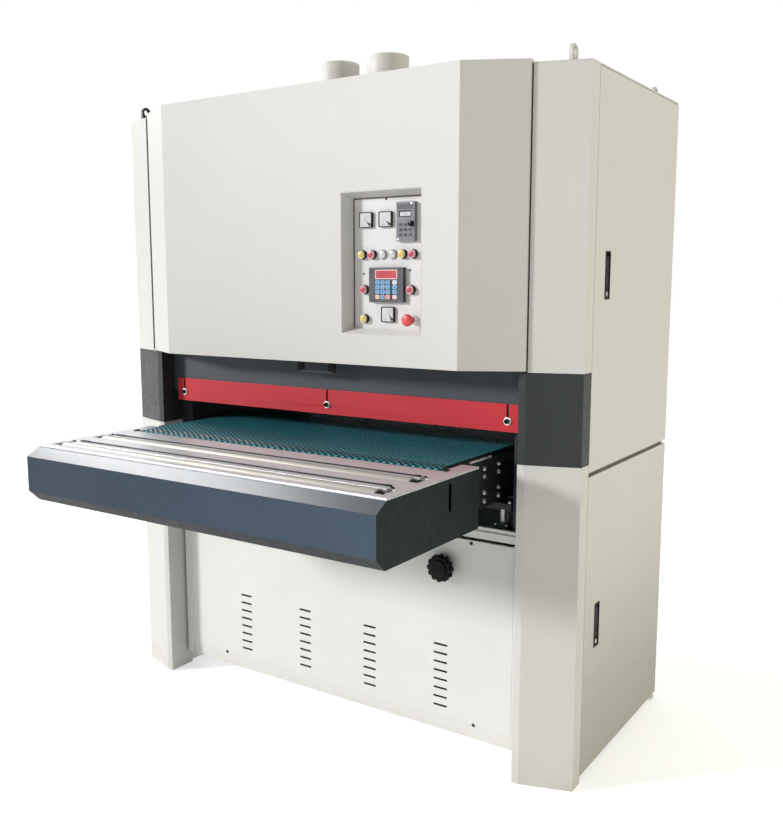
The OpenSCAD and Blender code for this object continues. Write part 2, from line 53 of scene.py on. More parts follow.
class Mat:
    """A procedural material: constants go straight on the shader, patterns come through nodes."""

    def __init__(self, name, **sockets):
        self.m = bpy.data.materials.new(name)
        self.m.use_nodes = True
        self.t = self.m.node_tree
        self.b = self.t.nodes["Principled BSDF"]
        for k, v in sockets.items():
            self.b.inputs[k.replace("_", " ")].default_value = v
        self.co = self.t.nodes.new("ShaderNodeTexCoord").outputs["Object"]
        self.normal = None

    def new(self, kind, **props):
        n = self.t.nodes.new(kind)
        for k, v in props.items():
            setattr(n, k, v)
        return n

    def link(self, a, b):
        self.t.links.new(a, b)

    def mapped(self, stretch=(1, 1, 1), turn=(0, 0, 0)):
        n = self.new("ShaderNodeMapping")
        n.inputs["Scale"].default_value = stretch
        n.inputs["Rotation"].default_value = turn
        self.link(self.co, n.inputs["Vector"])
        return n.outputs["Vector"]

    def noise(self, scale, detail=3.0, rough=0.5, stretch=(1, 1, 1), turn=(0, 0, 0), distort=0.0):
        n = self.new("ShaderNodeTexNoise")
        n.inputs["Scale"].default_value = scale
        n.inputs["Detail"].default_value = detail
        n.inputs["Roughness"].default_value = rough
        n.inputs["Distortion"].default_value = distort
        self.link(self.mapped(stretch, turn), n.inputs["Vector"])
        return n.outputs["Fac"]

    def cells(self, scale, stretch=(1, 1, 1), feature="F1", out="Distance", turn=(0, 0, 0)):
        n = self.new("ShaderNodeTexVoronoi", feature=feature)
        n.inputs["Scale"].default_value = scale
        self.link(self.mapped(stretch, turn), n.inputs["Vector"])
        return n.outputs[out]

    def axis(self, which):
        n = self.new("ShaderNodeSeparateXYZ")
        self.link(self.co, n.inputs[0])
        return n.outputs[which]

    def span(self, fac, lo, hi, a=0.0, b=1.0, smooth=False):
        n = self.new("ShaderNodeMapRange")
        n.interpolation_type = "SMOOTHSTEP" if smooth else "LINEAR"
        for k, v in (("From Min", a), ("From Max", b), ("To Min", lo), ("To Max", hi)):
            n.inputs[k].default_value = v
        self.link(fac, n.inputs["Value"])
        return n.outputs["Result"]

    def times(self, a, b):
        n = self.new("ShaderNodeMath", operation="MULTIPLY", use_clamp=True)
        self.link(a, n.inputs[0])
        self.link(b, n.inputs[1])
        return n.outputs[0]

    def ramp(self, fac, *stops):
        n = self.new("ShaderNodeValToRGB")
        e = n.color_ramp.elements
        while len(e) < len(stops):
            e.new(0.5)
        for s, (p, c) in zip(e, stops):
            s.position = p
            s.color = (*c, 1)
        self.link(fac, n.inputs["Fac"])
        return n.outputs["Color"]

    def mix(self, fac, a, b):
        n = self.new("ShaderNodeMix", data_type="RGBA")
        self.link(fac, n.inputs[0])
        for v, i in ((a, 6), (b, 7)):
            if isinstance(v, tuple):
                n.inputs[i].default_value = (*v, 1)
            else:
                self.link(v, n.inputs[i])
        return n.outputs[2]

    def color(self, out):
        self.link(out, self.b.inputs["Base Color"])
        return self

    def rough(self, out):
        self.link(out, self.b.inputs["Roughness"])
        return self

    def bump(self, height, distance, strength=1.0):
        n = self.new("ShaderNodeBump")
        n.inputs["Distance"].default_value = distance
        n.inputs["Strength"].default_value = strength
        self.link(height, n.inputs["Height"])
        if self.normal is not None:
            self.link(self.normal, n.inputs["Normal"])
        self.normal = n.outputs["Normal"]
        self.link(self.normal, self.b.inputs["Normal"])
        return self


def powder_coat(name, dark, light, rough=(0.34, 0.46), grain=620.0, peel=0.00006, wave=0.0005, dust=None, **kw):
    """Baked paint on folded sheet: orange peel, a slow waviness of the sheet, slight mottling."""
    m = Mat(name, **kw)
    base = m.ramp(m.noise(2.4, 5, 0.6), (0.34, dark), (0.66, light))
    if dust:
        low = m.times(m.span(m.axis("Z"), 1.0, 0.0, 0.0, 0.16, True), m.span(m.noise(9, 6, 0.65), 0.15, 1.0, 0.38, 0.72))
        base = m.mix(m.span(low, 0.0, 0.42), base, dust)
    m.color(base)
    m.rough(m.span(m.noise(38, 4, 0.6), *rough, 0.3, 0.7))
    m.bump(m.noise(grain, 2, 0.5), peel, 0.55)
    m.bump(m.noise(3.1, 1, 0.4), wave, 0.5)
    return m


def brushed(name, dark, light, rough, lines=(3, 420, 420), cut=0.00003, smear=0.5, metal=1.0, **kw):
    """Bare or ground metal with a lay along one direction and a few smears."""
    m = Mat(name, Metallic=metal, **kw)
    lay = m.noise(1.0, 5, 0.7, lines)
    m.color(m.mix(m.span(m.noise(7, 4, 0.6), 0.0, smear, 0.4, 0.8), m.ramp(lay, (0.3, dark), (0.7, light)), dark))
    m.rough(m.span(lay, *rough, 0.25, 0.75))
    m.bump(lay, cut, 0.5)
    return m


def plastic(name, dark, light, rough=(0.38, 0.5), grain=900.0, depth=0.00004, **kw):
    m = Mat(name, **kw)
    m.color(m.ramp(m.noise(16, 4, 0.6), (0.35, dark), (0.65, light)))
    m.rough(m.span(m.noise(60, 3), *rough, 0.3, 0.7))
    m.bump(m.noise(grain, 2), depth, 0.6)
    return m


SHELL = powder_coat("shell_paint", (0.516, 0.508, 0.480), (0.530, 0.522, 0.494), rough=(0.42, 0.56), wave=0.0002,
                    dust=(0.36, 0.325, 0.255), Specular_IOR_Level=0.35)
# painted light: a lighter copy of the shell paint for the lower panel, base, port collars, panel side strips and one
# recess wall; the dust near the floor is kept
SHELL_LIT = powder_coat("shell_paint_lit_copy", (0.572, 0.564, 0.538), (0.602, 0.594, 0.568), rough=(0.42, 0.56), wave=0.0002,
                        dust=(0.36, 0.325, 0.255), Specular_IOR_Level=0.35)
# painted shade: a darker copy of the shell paint for the left column covers
SHELL_SHADED_LEFT = powder_coat("shell_paint_shaded_left", (0.466, 0.459, 0.436), (0.478, 0.471, 0.448), rough=(0.42, 0.56), wave=0.0002,
                         dust=(0.33, 0.30, 0.24), Specular_IOR_Level=0.35)
# painted shade: a darker copy of the shell paint for the hood's right chamfer
SHELL_SHADED_TURN = powder_coat("shell_paint_shaded_turn", (0.470, 0.460, 0.428), (0.482, 0.472, 0.440), rough=(0.44, 0.58), wave=0.0002,
                         Specular_IOR_Level=0.3)
# painted shade and light across the hood: the paint runs from darker on the left (about 0.44) to lighter on the right
# (about 0.57)
SHELL_HOOD_SHADE_GRADED = Mat("shell_paint_hood_painted_shade", Specular_IOR_Level=0.35)
SHELL_HOOD_SHADE_GRADED.color(SHELL_HOOD_SHADE_GRADED.mix(SHELL_HOOD_SHADE_GRADED.span(SHELL_HOOD_SHADE_GRADED.axis("X"), 0.0, 1.0, -0.78, 0.62),
                                SHELL_HOOD_SHADE_GRADED.ramp(SHELL_HOOD_SHADE_GRADED.noise(2.4, 5, 0.6), (0.34, (0.442, 0.435, 0.414)), (0.66, (0.452, 0.445, 0.424))),
                                SHELL_HOOD_SHADE_GRADED.ramp(SHELL_HOOD_SHADE_GRADED.noise(2.4, 5, 0.6), (0.34, (0.552, 0.543, 0.516)), (0.66, (0.566, 0.557, 0.530)))))
SHELL_HOOD_SHADE_GRADED.rough(SHELL_HOOD_SHADE_GRADED.span(SHELL_HOOD_SHADE_GRADED.noise(38, 4, 0.6), 0.52, 0.56, 0.3, 0.7))
SHELL_HOOD_SHADE_GRADED.bump(SHELL_HOOD_SHADE_GRADED.noise(620, 2, 0.5), 0.00006, 0.55)
SHELL_HOOD_SHADE_GRADED.bump(SHELL_HOOD_SHADE_GRADED.noise(1.6, 1, 0.4), 0.0001, 0.5)
# painted shade: the lower door's paint grows darker and warmer towards the bottom
SHELL_DOOR_SHADED = Mat("shell_paint_door_painted_shade", Specular_IOR_Level=0.35)
SHELL_DOOR_SHADED.color(SHELL_DOOR_SHADED.mix(SHELL_DOOR_SHADED.times(SHELL_DOOR_SHADED.span(SHELL_DOOR_SHADED.axis("Z"), 0.78, 0.0, 0.02, 0.86, True), SHELL_DOOR_SHADED.span(SHELL_DOOR_SHADED.noise(2.2, 4, 0.6), 0.86, 1.0, 0.3, 0.7)),
                                SHELL_DOOR_SHADED.ramp(SHELL_DOOR_SHADED.noise(2.4, 5, 0.6), (0.34, (0.516, 0.508, 0.480)), (0.66, (0.530, 0.522, 0.494))), (0.300, 0.279, 0.228)))
SHELL_DOOR_SHADED.rough(SHELL_DOOR_SHADED.span(SHELL_DOOR_SHADED.noise(38, 4, 0.6), 0.42, 0.56, 0.3, 0.7))
SHELL_DOOR_SHADED.bump(SHELL_DOOR_SHADED.noise(620, 2, 0.5), 0.00006, 0.55)
SHELL_DOOR_SHADED.bump(SHELL_DOOR_SHADED.noise(3.1, 1, 0.4), 0.0002, 0.5)
# painted light on the upward faces of the recess ledge, a much lighter copy of the shell paint; the same paint is the
# own pale colour of the emergency stop's bezel
LIT_LEDGE_PALE_BEZEL = powder_coat("ledge_painted_light_and_bezel_pale", (0.74, 0.735, 0.72), (0.79, 0.785, 0.77), rough=(0.36, 0.46), grain=1400.0,
                    peel=0.00002, wave=0.0001)
PANEL = powder_coat("panel_white", (0.568, 0.560, 0.557), (0.600, 0.592, 0.589), rough=(0.26, 0.36), grain=1400.0,
                    peel=0.00002, wave=0.0001)
WAIST = powder_coat("waist_paint", (0.020, 0.0245, 0.024), (0.027, 0.032, 0.031), rough=(0.42, 0.56), grain=1100.0,
                    peel=0.00008, wave=0.0003, Specular_IOR_Level=0.3)
BEAMFRONT = powder_coat("beam_front_paint", (0.037, 0.046, 0.057), (0.046, 0.056, 0.067), rough=(0.40, 0.54), grain=1100.0,
                        peel=0.00006, wave=0.0004, Specular_IOR_Level=0.3)
# painted shade and light across the nose: the slate runs from darker on the left to lighter on the right
SLATE_SHADE_GRADED = powder_coat("slate_paint", (0.0185, 0.039, 0.066), (0.024, 0.048, 0.078), rough=(0.24, 0.31), grain=1500.0,
                    peel=0.00001, wave=0.0001, Specular_IOR_Level=0.25)
SLATE_SHADE_GRADED.color(SLATE_SHADE_GRADED.mix(SLATE_SHADE_GRADED.span(SLATE_SHADE_GRADED.axis("X"), 0.0, 1.0, -0.72, 0.72),
                      SLATE_SHADE_GRADED.ramp(SLATE_SHADE_GRADED.noise(2.4, 5, 0.6), (0.34, (0.006, 0.018, 0.040)), (0.66, (0.010, 0.024, 0.048))),
                      SLATE_SHADE_GRADED.ramp(SLATE_SHADE_GRADED.noise(2.4, 5, 0.6), (0.34, (0.030, 0.053, 0.080)), (0.66, (0.036, 0.062, 0.092)))))
# painted light: a lighter, glossier copy of the slate for the nose's top chamfer
SLATE_LIT_FOLD = powder_coat("slate_fold_paint_lit_copy", (0.040, 0.057, 0.077), (0.047, 0.065, 0.087), rough=(0.31, 0.325), grain=1500.0,
                         peel=0.000004, wave=0.00001, Specular_IOR_Level=0.95)
# painted shade: a darker, duller copy of the slate for the nose's downward faces
SLATE_SHADED_UNDER = powder_coat("slate_under_paint_shaded", (0.013, 0.017, 0.019), (0.018, 0.022, 0.024), rough=(0.45, 0.6), grain=900.0,
                          peel=0.00004, wave=0.0001, Specular_IOR_Level=0.12)
# painted shade: a darker copy of the slate for the nose end plates
SLATE_SHADED_END = powder_coat("slate_end_paint_shaded", (0.006, 0.0115, 0.013), (0.009, 0.0155, 0.017), rough=(0.45, 0.58), grain=900.0,
                        peel=0.00005, wave=0.0003, Specular_IOR_Level=0.13)
RED = powder_coat("red_paint", (0.45, 0.024, 0.034), (0.50, 0.032, 0.044), rough=(0.34, 0.46), grain=800.0, peel=0.00005,
                  wave=0.0004, Specular_IOR_Level=0.2)
FRAME = powder_coat("frame_paint", (0.010, 0.013, 0.016), (0.018, 0.022, 0.026), rough=(0.50, 0.66), grain=300.0,
                    peel=0.00012, wave=0.0004, Specular_IOR_Level=0.3)
MOTOR = powder_coat("motor_paint", (0.035, 0.075, 0.125), (0.050, 0.095, 0.150), rough=(0.35, 0.5), grain=260.0,
                    peel=0.0002, wave=0.0004)
BEAM = powder_coat("beam_paint", (0.030, 0.050, 0.075), (0.042, 0.064, 0.092), rough=(0.4, 0.55), grain=300.0,
                   peel=0.00015, wave=0.0005)

STEEL = brushed("bare_steel", (0.68, 0.690, 0.730), (0.86, 0.870, 0.910), (0.27, 0.42), metal=0.52)
ROLLER = brushed("roller_steel", (0.42, 0.40, 0.365), (0.51, 0.49, 0.455), (0.36, 0.48), lines=(480, 5, 5), cut=0.00001, smear=0.2, metal=0.55)
ALU = brushed("roller_alu", (0.62, 0.63, 0.64), (0.78, 0.79, 0.80), (0.25, 0.42), lines=(500, 6, 6))
ZINC = brushed("zinc", (0.58, 0.58, 0.57), (0.80, 0.795, 0.78), (0.24, 0.42), lines=(60, 60, 60), cut=0.00002)
CHROME = brushed("collar_chrome", (0.78, 0.78, 0.78), (0.90, 0.90, 0.90), (0.12, 0.24), lines=(90, 500, 90), cut=0.00001, smear=0.2)

RUBBER = plastic("rubber_black", (0.012, 0.012, 0.013), (0.024, 0.024, 0.025), (0.55, 0.75), 700, 0.00012, Specular_IOR_Level=0.3)
BLACK = plastic("black_plastic", (0.0025, 0.0025, 0.003), (0.0055, 0.0055, 0.006), (0.40, 0.54), Specular_IOR_Level=0.13)
OXIDE = plastic("black_oxide", (0.008, 0.008, 0.009), (0.018, 0.018, 0.019), (0.30, 0.45), Metallic=0.6)
INSTRUMENT = plastic("instrument_black", (0.005, 0.005, 0.006), (0.009, 0.009, 0.010), (0.28, 0.40), Specular_IOR_Level=0.3)
KEYPAD = plastic("keypad_grey", (0.115, 0.115, 0.137), (0.15, 0.15, 0.175), (0.34, 0.46))
KEYPAD_KEY = plastic("keypad_key", (0.022, 0.025, 0.034), (0.036, 0.040, 0.050), (0.45, 0.6))
CONTROLLER = plastic("controller_grey", (0.036, 0.038, 0.048), (0.050, 0.052, 0.063), (0.34, 0.46))
LAMP = plastic("lamp_white", (0.50, 0.51, 0.49), (0.58, 0.59, 0.57), (0.12, 0.20), Coat_Weight=0.5)
YELLOW = plastic("button_yellow", (0.50, 0.38, 0.055), (0.62, 0.48, 0.10), (0.24, 0.36), Coat_Weight=0.25)
BRED = plastic("button_red", (0.34, 0.020, 0.055), (0.43, 0.034, 0.075), (0.24, 0.36), Coat_Weight=0.25)
MUSH = plastic("emergency_red", (0.58, 0.045, 0.045), (0.68, 0.065, 0.062), (0.30, 0.42), Coat_Weight=0.2)
METER_FACE = plastic("meter_scale_face", (0.50, 0.50, 0.495), (0.56, 0.56, 0.555), (0.20, 0.30), 1200, 0.00001, Coat_Weight=0.5)
DIALFACE = plastic("meter_face", (0.80, 0.80, 0.79), (0.84, 0.84, 0.83), (0.20, 0.30), 1200, 0.00001, Coat_Weight=0.6)
INK = plastic("ink", (0.012, 0.012, 0.014), (0.030, 0.030, 0.034), (0.55, 0.7))
INK_GREY = plastic("ink_grey", (0.30, 0.31, 0.32), (0.42, 0.43, 0.44), (0.55, 0.7))
LCD = plastic("display_pale", (0.52, 0.53, 0.56), (0.66, 0.67, 0.70), (0.14, 0.22), Coat_Weight=0.5)
LED = plastic("display_red", (0.40, 0.058, 0.075), (0.50, 0.082, 0.10), (0.14, 0.22), Coat_Weight=0.5)
LED_RIM = plastic("display_rim", (0.62, 0.42, 0.44), (0.72, 0.52, 0.54), (0.30, 0.42))
KEY_BLUE = plastic("key_blue", (0.10, 0.28, 0.50), (0.17, 0.38, 0.62), (0.40, 0.52))
RING_YELLOW = plastic("ring_yellow", (0.70, 0.66, 0.38), (0.80, 0.76, 0.50), (0.22, 0.34), Coat_Weight=0.3)
RING_RED = plastic("ring_red", (0.70, 0.42, 0.46), (0.80, 0.54, 0.58), (0.22, 0.34), Coat_Weight=0.3)
# dark fill for gaps; along the panel recess walls it is painted shade
GAP_DARK = plastic("gap_dark_strip", (0.075, 0.066, 0.050), (0.11, 0.098, 0.076), (0.55, 0.7))
KEY_PALE = plastic("key_pale", (0.50, 0.53, 0.62), (0.62, 0.65, 0.73), (0.40, 0.52))
KEY_ORANGE = plastic("key_orange", (0.64, 0.36, 0.20), (0.76, 0.46, 0.28), (0.40, 0.52))
KEY_PINK = plastic("key_pink", (0.70, 0.22, 0.22), (0.82, 0.32, 0.30), (0.40, 0.52))


def teal(name, low, high, dusty):
    m = Mat(name, Specular_IOR_Level=0.28)
    base = m.ramp(m.noise(5, 5, 0.65), (0.3, low), (0.7, high))
    m.color(m.mix(m.span(m.noise(90, 4, 0.65), 0.0, 0.55, 0.5, 0.8), base, dusty))
    m.rough(m.span(m.noise(120, 3), 0.34, 0.52, 0.3, 0.7))
    m.bump(m.noise(700, 3), 0.00015, 0.6)
    return m


def abrasive():
    m = Mat("abrasive", Specular_IOR_Level=0.3)
    m.color(m.mix(m.span(m.cells(900), 0.0, 1.0, 0.1, 0.6), m.ramp(m.noise(6, 4), (0.35, (0.105, 0.040, 0.020)), (0.65, (0.150, 0.062, 0.032))),
                  (0.045, 0.020, 0.014)))
    m.rough(m.span(m.noise(500, 2), 0.7, 0.95, 0.3, 0.7))
    m.bump(m.cells(1100), 0.00035, 0.9)
    return m


# the nub tops wear the belt's teal; the base between the nubs and the nub flanks are much darker copies of it, as
# painted shade
TEAL = teal("belt_teal", (0.042, 0.350, 0.430), (0.062, 0.430, 0.510), (0.27, 0.55, 0.59))
TEAL_SHADED_BASE = teal("belt_teal_base_painted_shade", (0.001, 0.012, 0.017), (0.002, 0.018, 0.024), (0.004, 0.026, 0.032))
# painted highlight: pale nub tops where the belt turns at the front, fading from the left to the right
TEAL_PAINTED_GLINT = Mat("belt_teal_painted_glint", Specular_IOR_Level=0.5)
TEAL_PAINTED_GLINT.color(TEAL_PAINTED_GLINT.mix(TEAL_PAINTED_GLINT.times(TEAL_PAINTED_GLINT.span(TEAL_PAINTED_GLINT.axis("X"), 1.0, 0.0, -0.62, 0.35, True), TEAL_PAINTED_GLINT.span(TEAL_PAINTED_GLINT.noise(30, 3), 0.4, 1.0, 0.35, 0.6)),
                            (0.03, 0.19, 0.22), (0.52, 0.66, 0.67)))
TEAL_PAINTED_GLINT.rough(TEAL_PAINTED_GLINT.span(TEAL_PAINTED_GLINT.noise(120, 3), 0.30, 0.45, 0.3, 0.7))
TEAL_PAINTED_GLINT.bump(TEAL_PAINTED_GLINT.noise(700, 3), 0.00015, 0.6)
TEAL_SHADED_FLANK = teal("belt_teal_flank_painted_shade", (0.003, 0.036, 0.048), (0.006, 0.050, 0.064), (0.013, 0.075, 0.090))
ABRASIVE = abrasive()

CAD_LOOK = {
    # node: (material, width of the rounded edges in mm)
    # base_frame and lower_front_panel get the lighter copy of the shell paint as painted light
    "base_frame": (SHELL_LIT, 0.6), "side_frames": (FRAME, 0), "column_covers": (SHELL, 1.1), "waist_covers": (WAIST, 1.1),
    "roof_panel": (SHELL, 0.8), "dust_ports": (SHELL, 0), "lifting_eyes": (ZINC, 1.0), "lower_front_panel": (SHELL_LIT, 0.5),
    "cover_fasteners": (ZINC, 0), "guard_panels": (SHELL, 0.8), "front_crossbeam": (BEAMFRONT, 1.2), "head_beams": (BEAM, 0),
    "sanding_belts": (ABRASIVE, 0), "main_motors": (MOTOR, 0), "drive_belts": (RUBBER, 0), "jack_housings": (FRAME, 1.0),
    "hinge_rods": (ZINC, 0), "contact_roller_1": (RUBBER, 0), "contact_roller_2": (RUBBER, 0), "tension_roller_1": (ALU, 0),
    "tension_roller_2": (ALU, 0), "motor_pulley_1": (ZINC, 0), "motor_pulley_2": (ZINC, 0), "pressure_roller_front": (RUBBER, 0),
    "pressure_roller_rear": (RUBBER, 0), "limit_bar": (RED, 0.7), "speed_knob": (BLACK, 0), "front_hood": (SHELL_HOOD_SHADE_GRADED, 1.2),
    "control_panel": (SHELL, 0), "panel_meters": (INSTRUMENT, 0.8), "drive_keypad": (KEYPAD, 1.6), "thickness_controller": (CONTROLLER, 1.4),
    "indicator_lamps": (LAMP, 0), "button_collars": (INSTRUMENT, 0), "head_1_start_button": (YELLOW, 0), "head_1_stop_button": (BRED, 0),
    "head_2_start_button": (YELLOW, 0), "head_2_stop_button": (BRED, 0), "table_up_button": (BRED, 0), "table_down_button": (BRED, 0),
    "feed_start_button": (YELLOW, 0), "emergency_stop": (MUSH, 0), "speed_dial": (BLACK, 0), "right_upper_door": (SHELL, 1.0),
    "right_lower_door": (SHELL_DOOR_SHADED, 1.0), "upper_latch_pan": (BLACK, 0.6), "lower_latch_pan": (BLACK, 0.6), "upper_latch_handle": (BLACK, 1.0),
    "lower_latch_handle": (BLACK, 1.0), "table_bed": (FRAME, 1.0), "infeed_nose": (SLATE_SHADE_GRADED, 1.6), "infeed_plate": (STEEL, 0.5),
    "feed_belt": (TEAL, 0), "feed_gearmotor": (MOTOR, 0), "bed_bolts": (ZINC, 0.8), "jack_screws": (ZINC, 0), "feed_drive_roller": (RUBBER, 0),
    "feed_idler_roller": (ALU, 0), "infeed_roller_front": (ROLLER, 0), "infeed_roller_rear": (ROLLER, 0),
}
for name, (m, width) in CAD_LOOK.items():
    ob = nodes[name]
    ob.data.materials.clear()
    ob.data.materials.append(m.m)
    if width:
        w = ob.modifiers.new("weld", "WELD")
        w.merge_threshold = 0.00002
        b = ob.modifiers.new("soft_edges", "BEVEL")
        b.width = width * MM
        b.segments = 2
        b.limit_method = "ANGLE"
        b.angle_limit = math.radians(28)
        b.use_clamp_overlap = True
        n = ob.modifiers.new("face_normals", "WEIGHTED_NORMAL")
        n.weight = 80
        n.keep_sharp = True


def second_finish(node, material, test):
    """Faces of a carried-over node that are finished otherwise than the rest of it; most uses give faces a lighter or
    darker copy of the node's paint, as painted light and shade.
    """
    me = nodes[node].data
    me.materials.append(material.m)
    k = len(me.materials) - 1
    for f in me.polygons:
        if test(f.normal, f.center):
            f.material_index = k


# painted shade: the hood's right chamfer gets the darker copy of the shell paint
second_finish("front_hood", SHELL_SHADED_TURN, lambda n, c: n.x > 0.3 and n.y < -0.3 and c.x > 0.6)
# painted shade: the left column covers get the darker copy of the shell paint
second_finish("column_covers", SHELL_SHADED_LEFT, lambda n, c: c.x < 0)
second_finish("control_panel", PANEL, lambda n, c: abs(n.y) > 0.9 and c.y > -0.236)
# painted light: the recess wall facing +x gets the lighter copy of the shell paint
second_finish("control_panel", SHELL_LIT, lambda n, c: n.x > 0.5 and c.y < -0.233)
# painted light: the upward faces of the recess ledge get the much lighter paint
second_finish("control_panel", LIT_LEDGE_PALE_BEZEL, lambda n, c: n.z > 0.9 and c.z < 1.42)
# painted shade: the nose's downward faces get the darker slate
second_finish("infeed_nose", SLATE_SHADED_UNDER, lambda n, c: n.z < -0.3 and abs(n.x) < 0.5)
# painted shade: the nose end plates get the darker slate
second_finish("infeed_nose", SLATE_SHADED_END, lambda n, c: abs(n.x) > 0.9)
# painted shade: the walls of the slots in the nose end plates are black
second_finish("infeed_nose", BLACK, lambda n, c: abs(n.x) < 0.1 and abs(c.x) > 0.693 and -0.478 < c.y < -0.460 and 0.926 < c.z < 1.013)
# painted shade: the upward faces of the base frame's deck under the bed take the dark frame paint
second_finish("base_frame", FRAME, lambda n, c: n.z > 0.9 and c.z > 0.70 and c.y > -0.08)
second_finish("infeed_plate", INK_GREY, lambda n, c: abs(n.x) > 0.9 and abs(c.x) > 0.69)
# painted light: the nose's top chamfer gets the lighter, glossier slate
second_finish("infeed_nose", SLATE_LIT_FOLD, lambda n, c: n.y < -0.3 and n.z > 0.5 and c.y < -0.78)
# painted shade: the crossbeam's front faces beside the middle of the pull tab are black
second_finish("front_crossbeam", BLACK, lambda n, c: c.y < -0.1735 and abs(c.x + 0.0015) > 0.053 and c.z < 1.2938)


# ------------------------------------------------------------------ piece building, in millimetres

def P3(axis, u, v, w):
    """w runs along the axis, u and v across it."""
    return {"x": (w, u, v), "y": (u, w, v), "z": (u, v, w)}[axis]


def rrect(cu, cv, wide, high, r, n=5):
    """Outline of a rectangle with round corners."""
    out = []
    for k, (su, sv) in enumerate(((1, 1), (-1, 1), (-1, -1), (1, -1))):
        for i in range(n + 1):
            a = math.pi / 2 * (k + i / n)
            out.append((cu + su * (wide / 2 - r) + r * math.cos(a), cv + sv * (high / 2 - r) + r * math.sin(a)))
    return out


def disc(cu, cv, r, n=32, turn=0.0):
    return [(cu + r * math.cos(turn + TAU * i / n), cv + r * math.sin(turn + TAU * i / n)) for i in range(n)]


class Piece:
    """Gathers the shapes of one visual piece into one mesh."""

    def __init__(self, name, body, slot, *hides):
        self.name, self.body, self.slot, self.hides = name, body, slot, hides
        self.bm = bmesh.new()
        self.mats = []

    def v(self, p):
        return self.bm.verts.new((p[0] * MM, p[1] * MM, p[2] * MM))

    def paint(self, faces, m):
        if m.m not in self.mats:
            self.mats.append(m.m)
        k = self.mats.index(m.m)
        for f in faces:
            f.material_index = k

    def soften(self, edges, r, seg):
        if r > 0:
            bmesh.ops.bevel(self.bm, geom=list(edges), offset=r * MM, segments=seg, profile=0.5, affect="EDGES", clamp_overlap=True)

    def block(self, lo, hi, m, r=0.4, seg=2):
        vs = [self.v((x, y, z)) for x in (lo[0], hi[0]) for y in (lo[1], hi[1]) for z in (lo[2], hi[2])]
        fs = [self.bm.faces.new([vs[i] for i in q]) for q in ((0, 1, 3, 2), (4, 6, 7, 5), (0, 4, 5, 1), (2, 3, 7, 6), (0, 2, 6, 4), (1, 5, 7, 3))]
        self.paint(fs, m)
        self.soften({e for f in fs for e in f.edges}, r, seg)
        return self

    def slab(self, axis, outline, w0, w1, m, r=0.0, seg=2):
        """Outline across the axis, from w0 to w1 along it, with softened rims."""
        n = len(outline)
        a = [self.v(P3(axis, u, v, w0)) for u, v in outline]
        b = [self.v(P3(axis, u, v, w1)) for u, v in outline]
        fs = [self.bm.faces.new(a), self.bm.faces.new(b[::-1])]
        rims = set(fs[0].edges) | set(fs[1].edges)
        fs += [self.bm.faces.new((a[i], b[i], b[(i + 1) % n], a[(i + 1) % n])) for i in range(n)]
        self.paint(fs, m)
        self.soften(rims, r, seg)
        return self

    def rings(self, rows, m, closed=False):
        """Rows of points, one row per ring; a row of one point closes an end."""
        rows = [[self.v(p) for p in row] for row in rows]
        n = max(len(r) for r in rows)
        fs = []
        for a, b in zip(rows, rows[1:] + rows[:1] if closed else rows[1:]):
            for i in range(n):
                j = (i + 1) % n
                q = [a[0], b[i], b[j]] if len(a) == 1 else [a[i], b[0], a[j]] if len(b) == 1 else [a[i], b[i], b[j], a[j]]
                fs.append(self.bm.faces.new(q))
        self.paint(fs, m)
        return self

    def lathe(self, axis, c, profile, m, n=40, closed=False, turn=0.0):
        """Profile of (radius, place along the axis)."""
        return self.rings([[P3(axis, c[0], c[1], w)] if r <= 0 else [P3(axis, u, v, w) for u, v in disc(c[0], c[1], r, n, turn)] for r, w in profile],
                          m, closed)

    def frame(self, axis, outer, inner, w0, w1, m, lip=0.0):
        """Flat ring between two outlines of as many points; lip lowers its inner rim."""
        return self.rings([[P3(axis, u, v, w0) for u, v in outer], [P3(axis, u, v, w1) for u, v in outer],
                           [P3(axis, u, v, w1) for u, v in inner], [P3(axis, u, v, w0 + lip) for u, v in inner]], m, True)

    def strokes(self, axis, lines, w0, w1, wide, m):
        """Printed lines, as thin raised strips."""
        for line in lines:
            for (u0, v0), (u1, v1) in zip(line, line[1:]):
                d = math.hypot(u1 - u0, v1 - v0)
                tu, tv = (u1 - u0) / d * wide / 2, (v1 - v0) / d * wide / 2
                self.slab(axis, [(u0 - tu - tv, v0 - tv + tu), (u0 - tu + tv, v0 - tv - tu), (u1 + tu + tv, v1 + tv - tu), (u1 + tu - tv, v1 + tv + tu)], w0, w1, m)
        return self

    def torus(self, axis, c, w, big, small, m, n=36, k=14):
        rows = []
        for i in range(n):
            a = TAU * i / n
            rows.append([P3(axis, c[0] + (big + small * math.cos(TAU * j / k)) * math.cos(a), c[1] + (big + small * math.cos(TAU * j / k)) * math.sin(a),
                            w + small * math.sin(TAU * j / k)) for j in range(k)])
        return self.rings(rows, m, True)

    def done(self, sharp=34, weighted=True):
        bmesh.ops.recalc_face_normals(self.bm, faces=self.bm.faces)
        me = bpy.data.meshes.new(self.name)
        self.bm.to_mesh(me)
        self.bm.free()
        me.polygons.foreach_set("use_smooth", [True] * len(me.polygons))
        me.set_sharp_from_angle(angle=math.radians(sharp))
        for m in self.mats:
            me.materials.append(m)
        ob = bpy.data.objects.new(self.name, me)
        scene.collection.objects.link(ob)
        if weighted:
            n = ob.modifiers.new("face_normals", "WEIGHTED_NORMAL")
            n.weight = 70
            n.keep_sharp = True
        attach(ob, self.body)
        if self.hides:
            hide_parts(*self.hides)
        return ob


def middle(node):
    lo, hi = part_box(node)
    return tuple((a + b) / 2 / MM for a, b in zip(lo, hi))


# ------------------------------------------------------------------ feed table

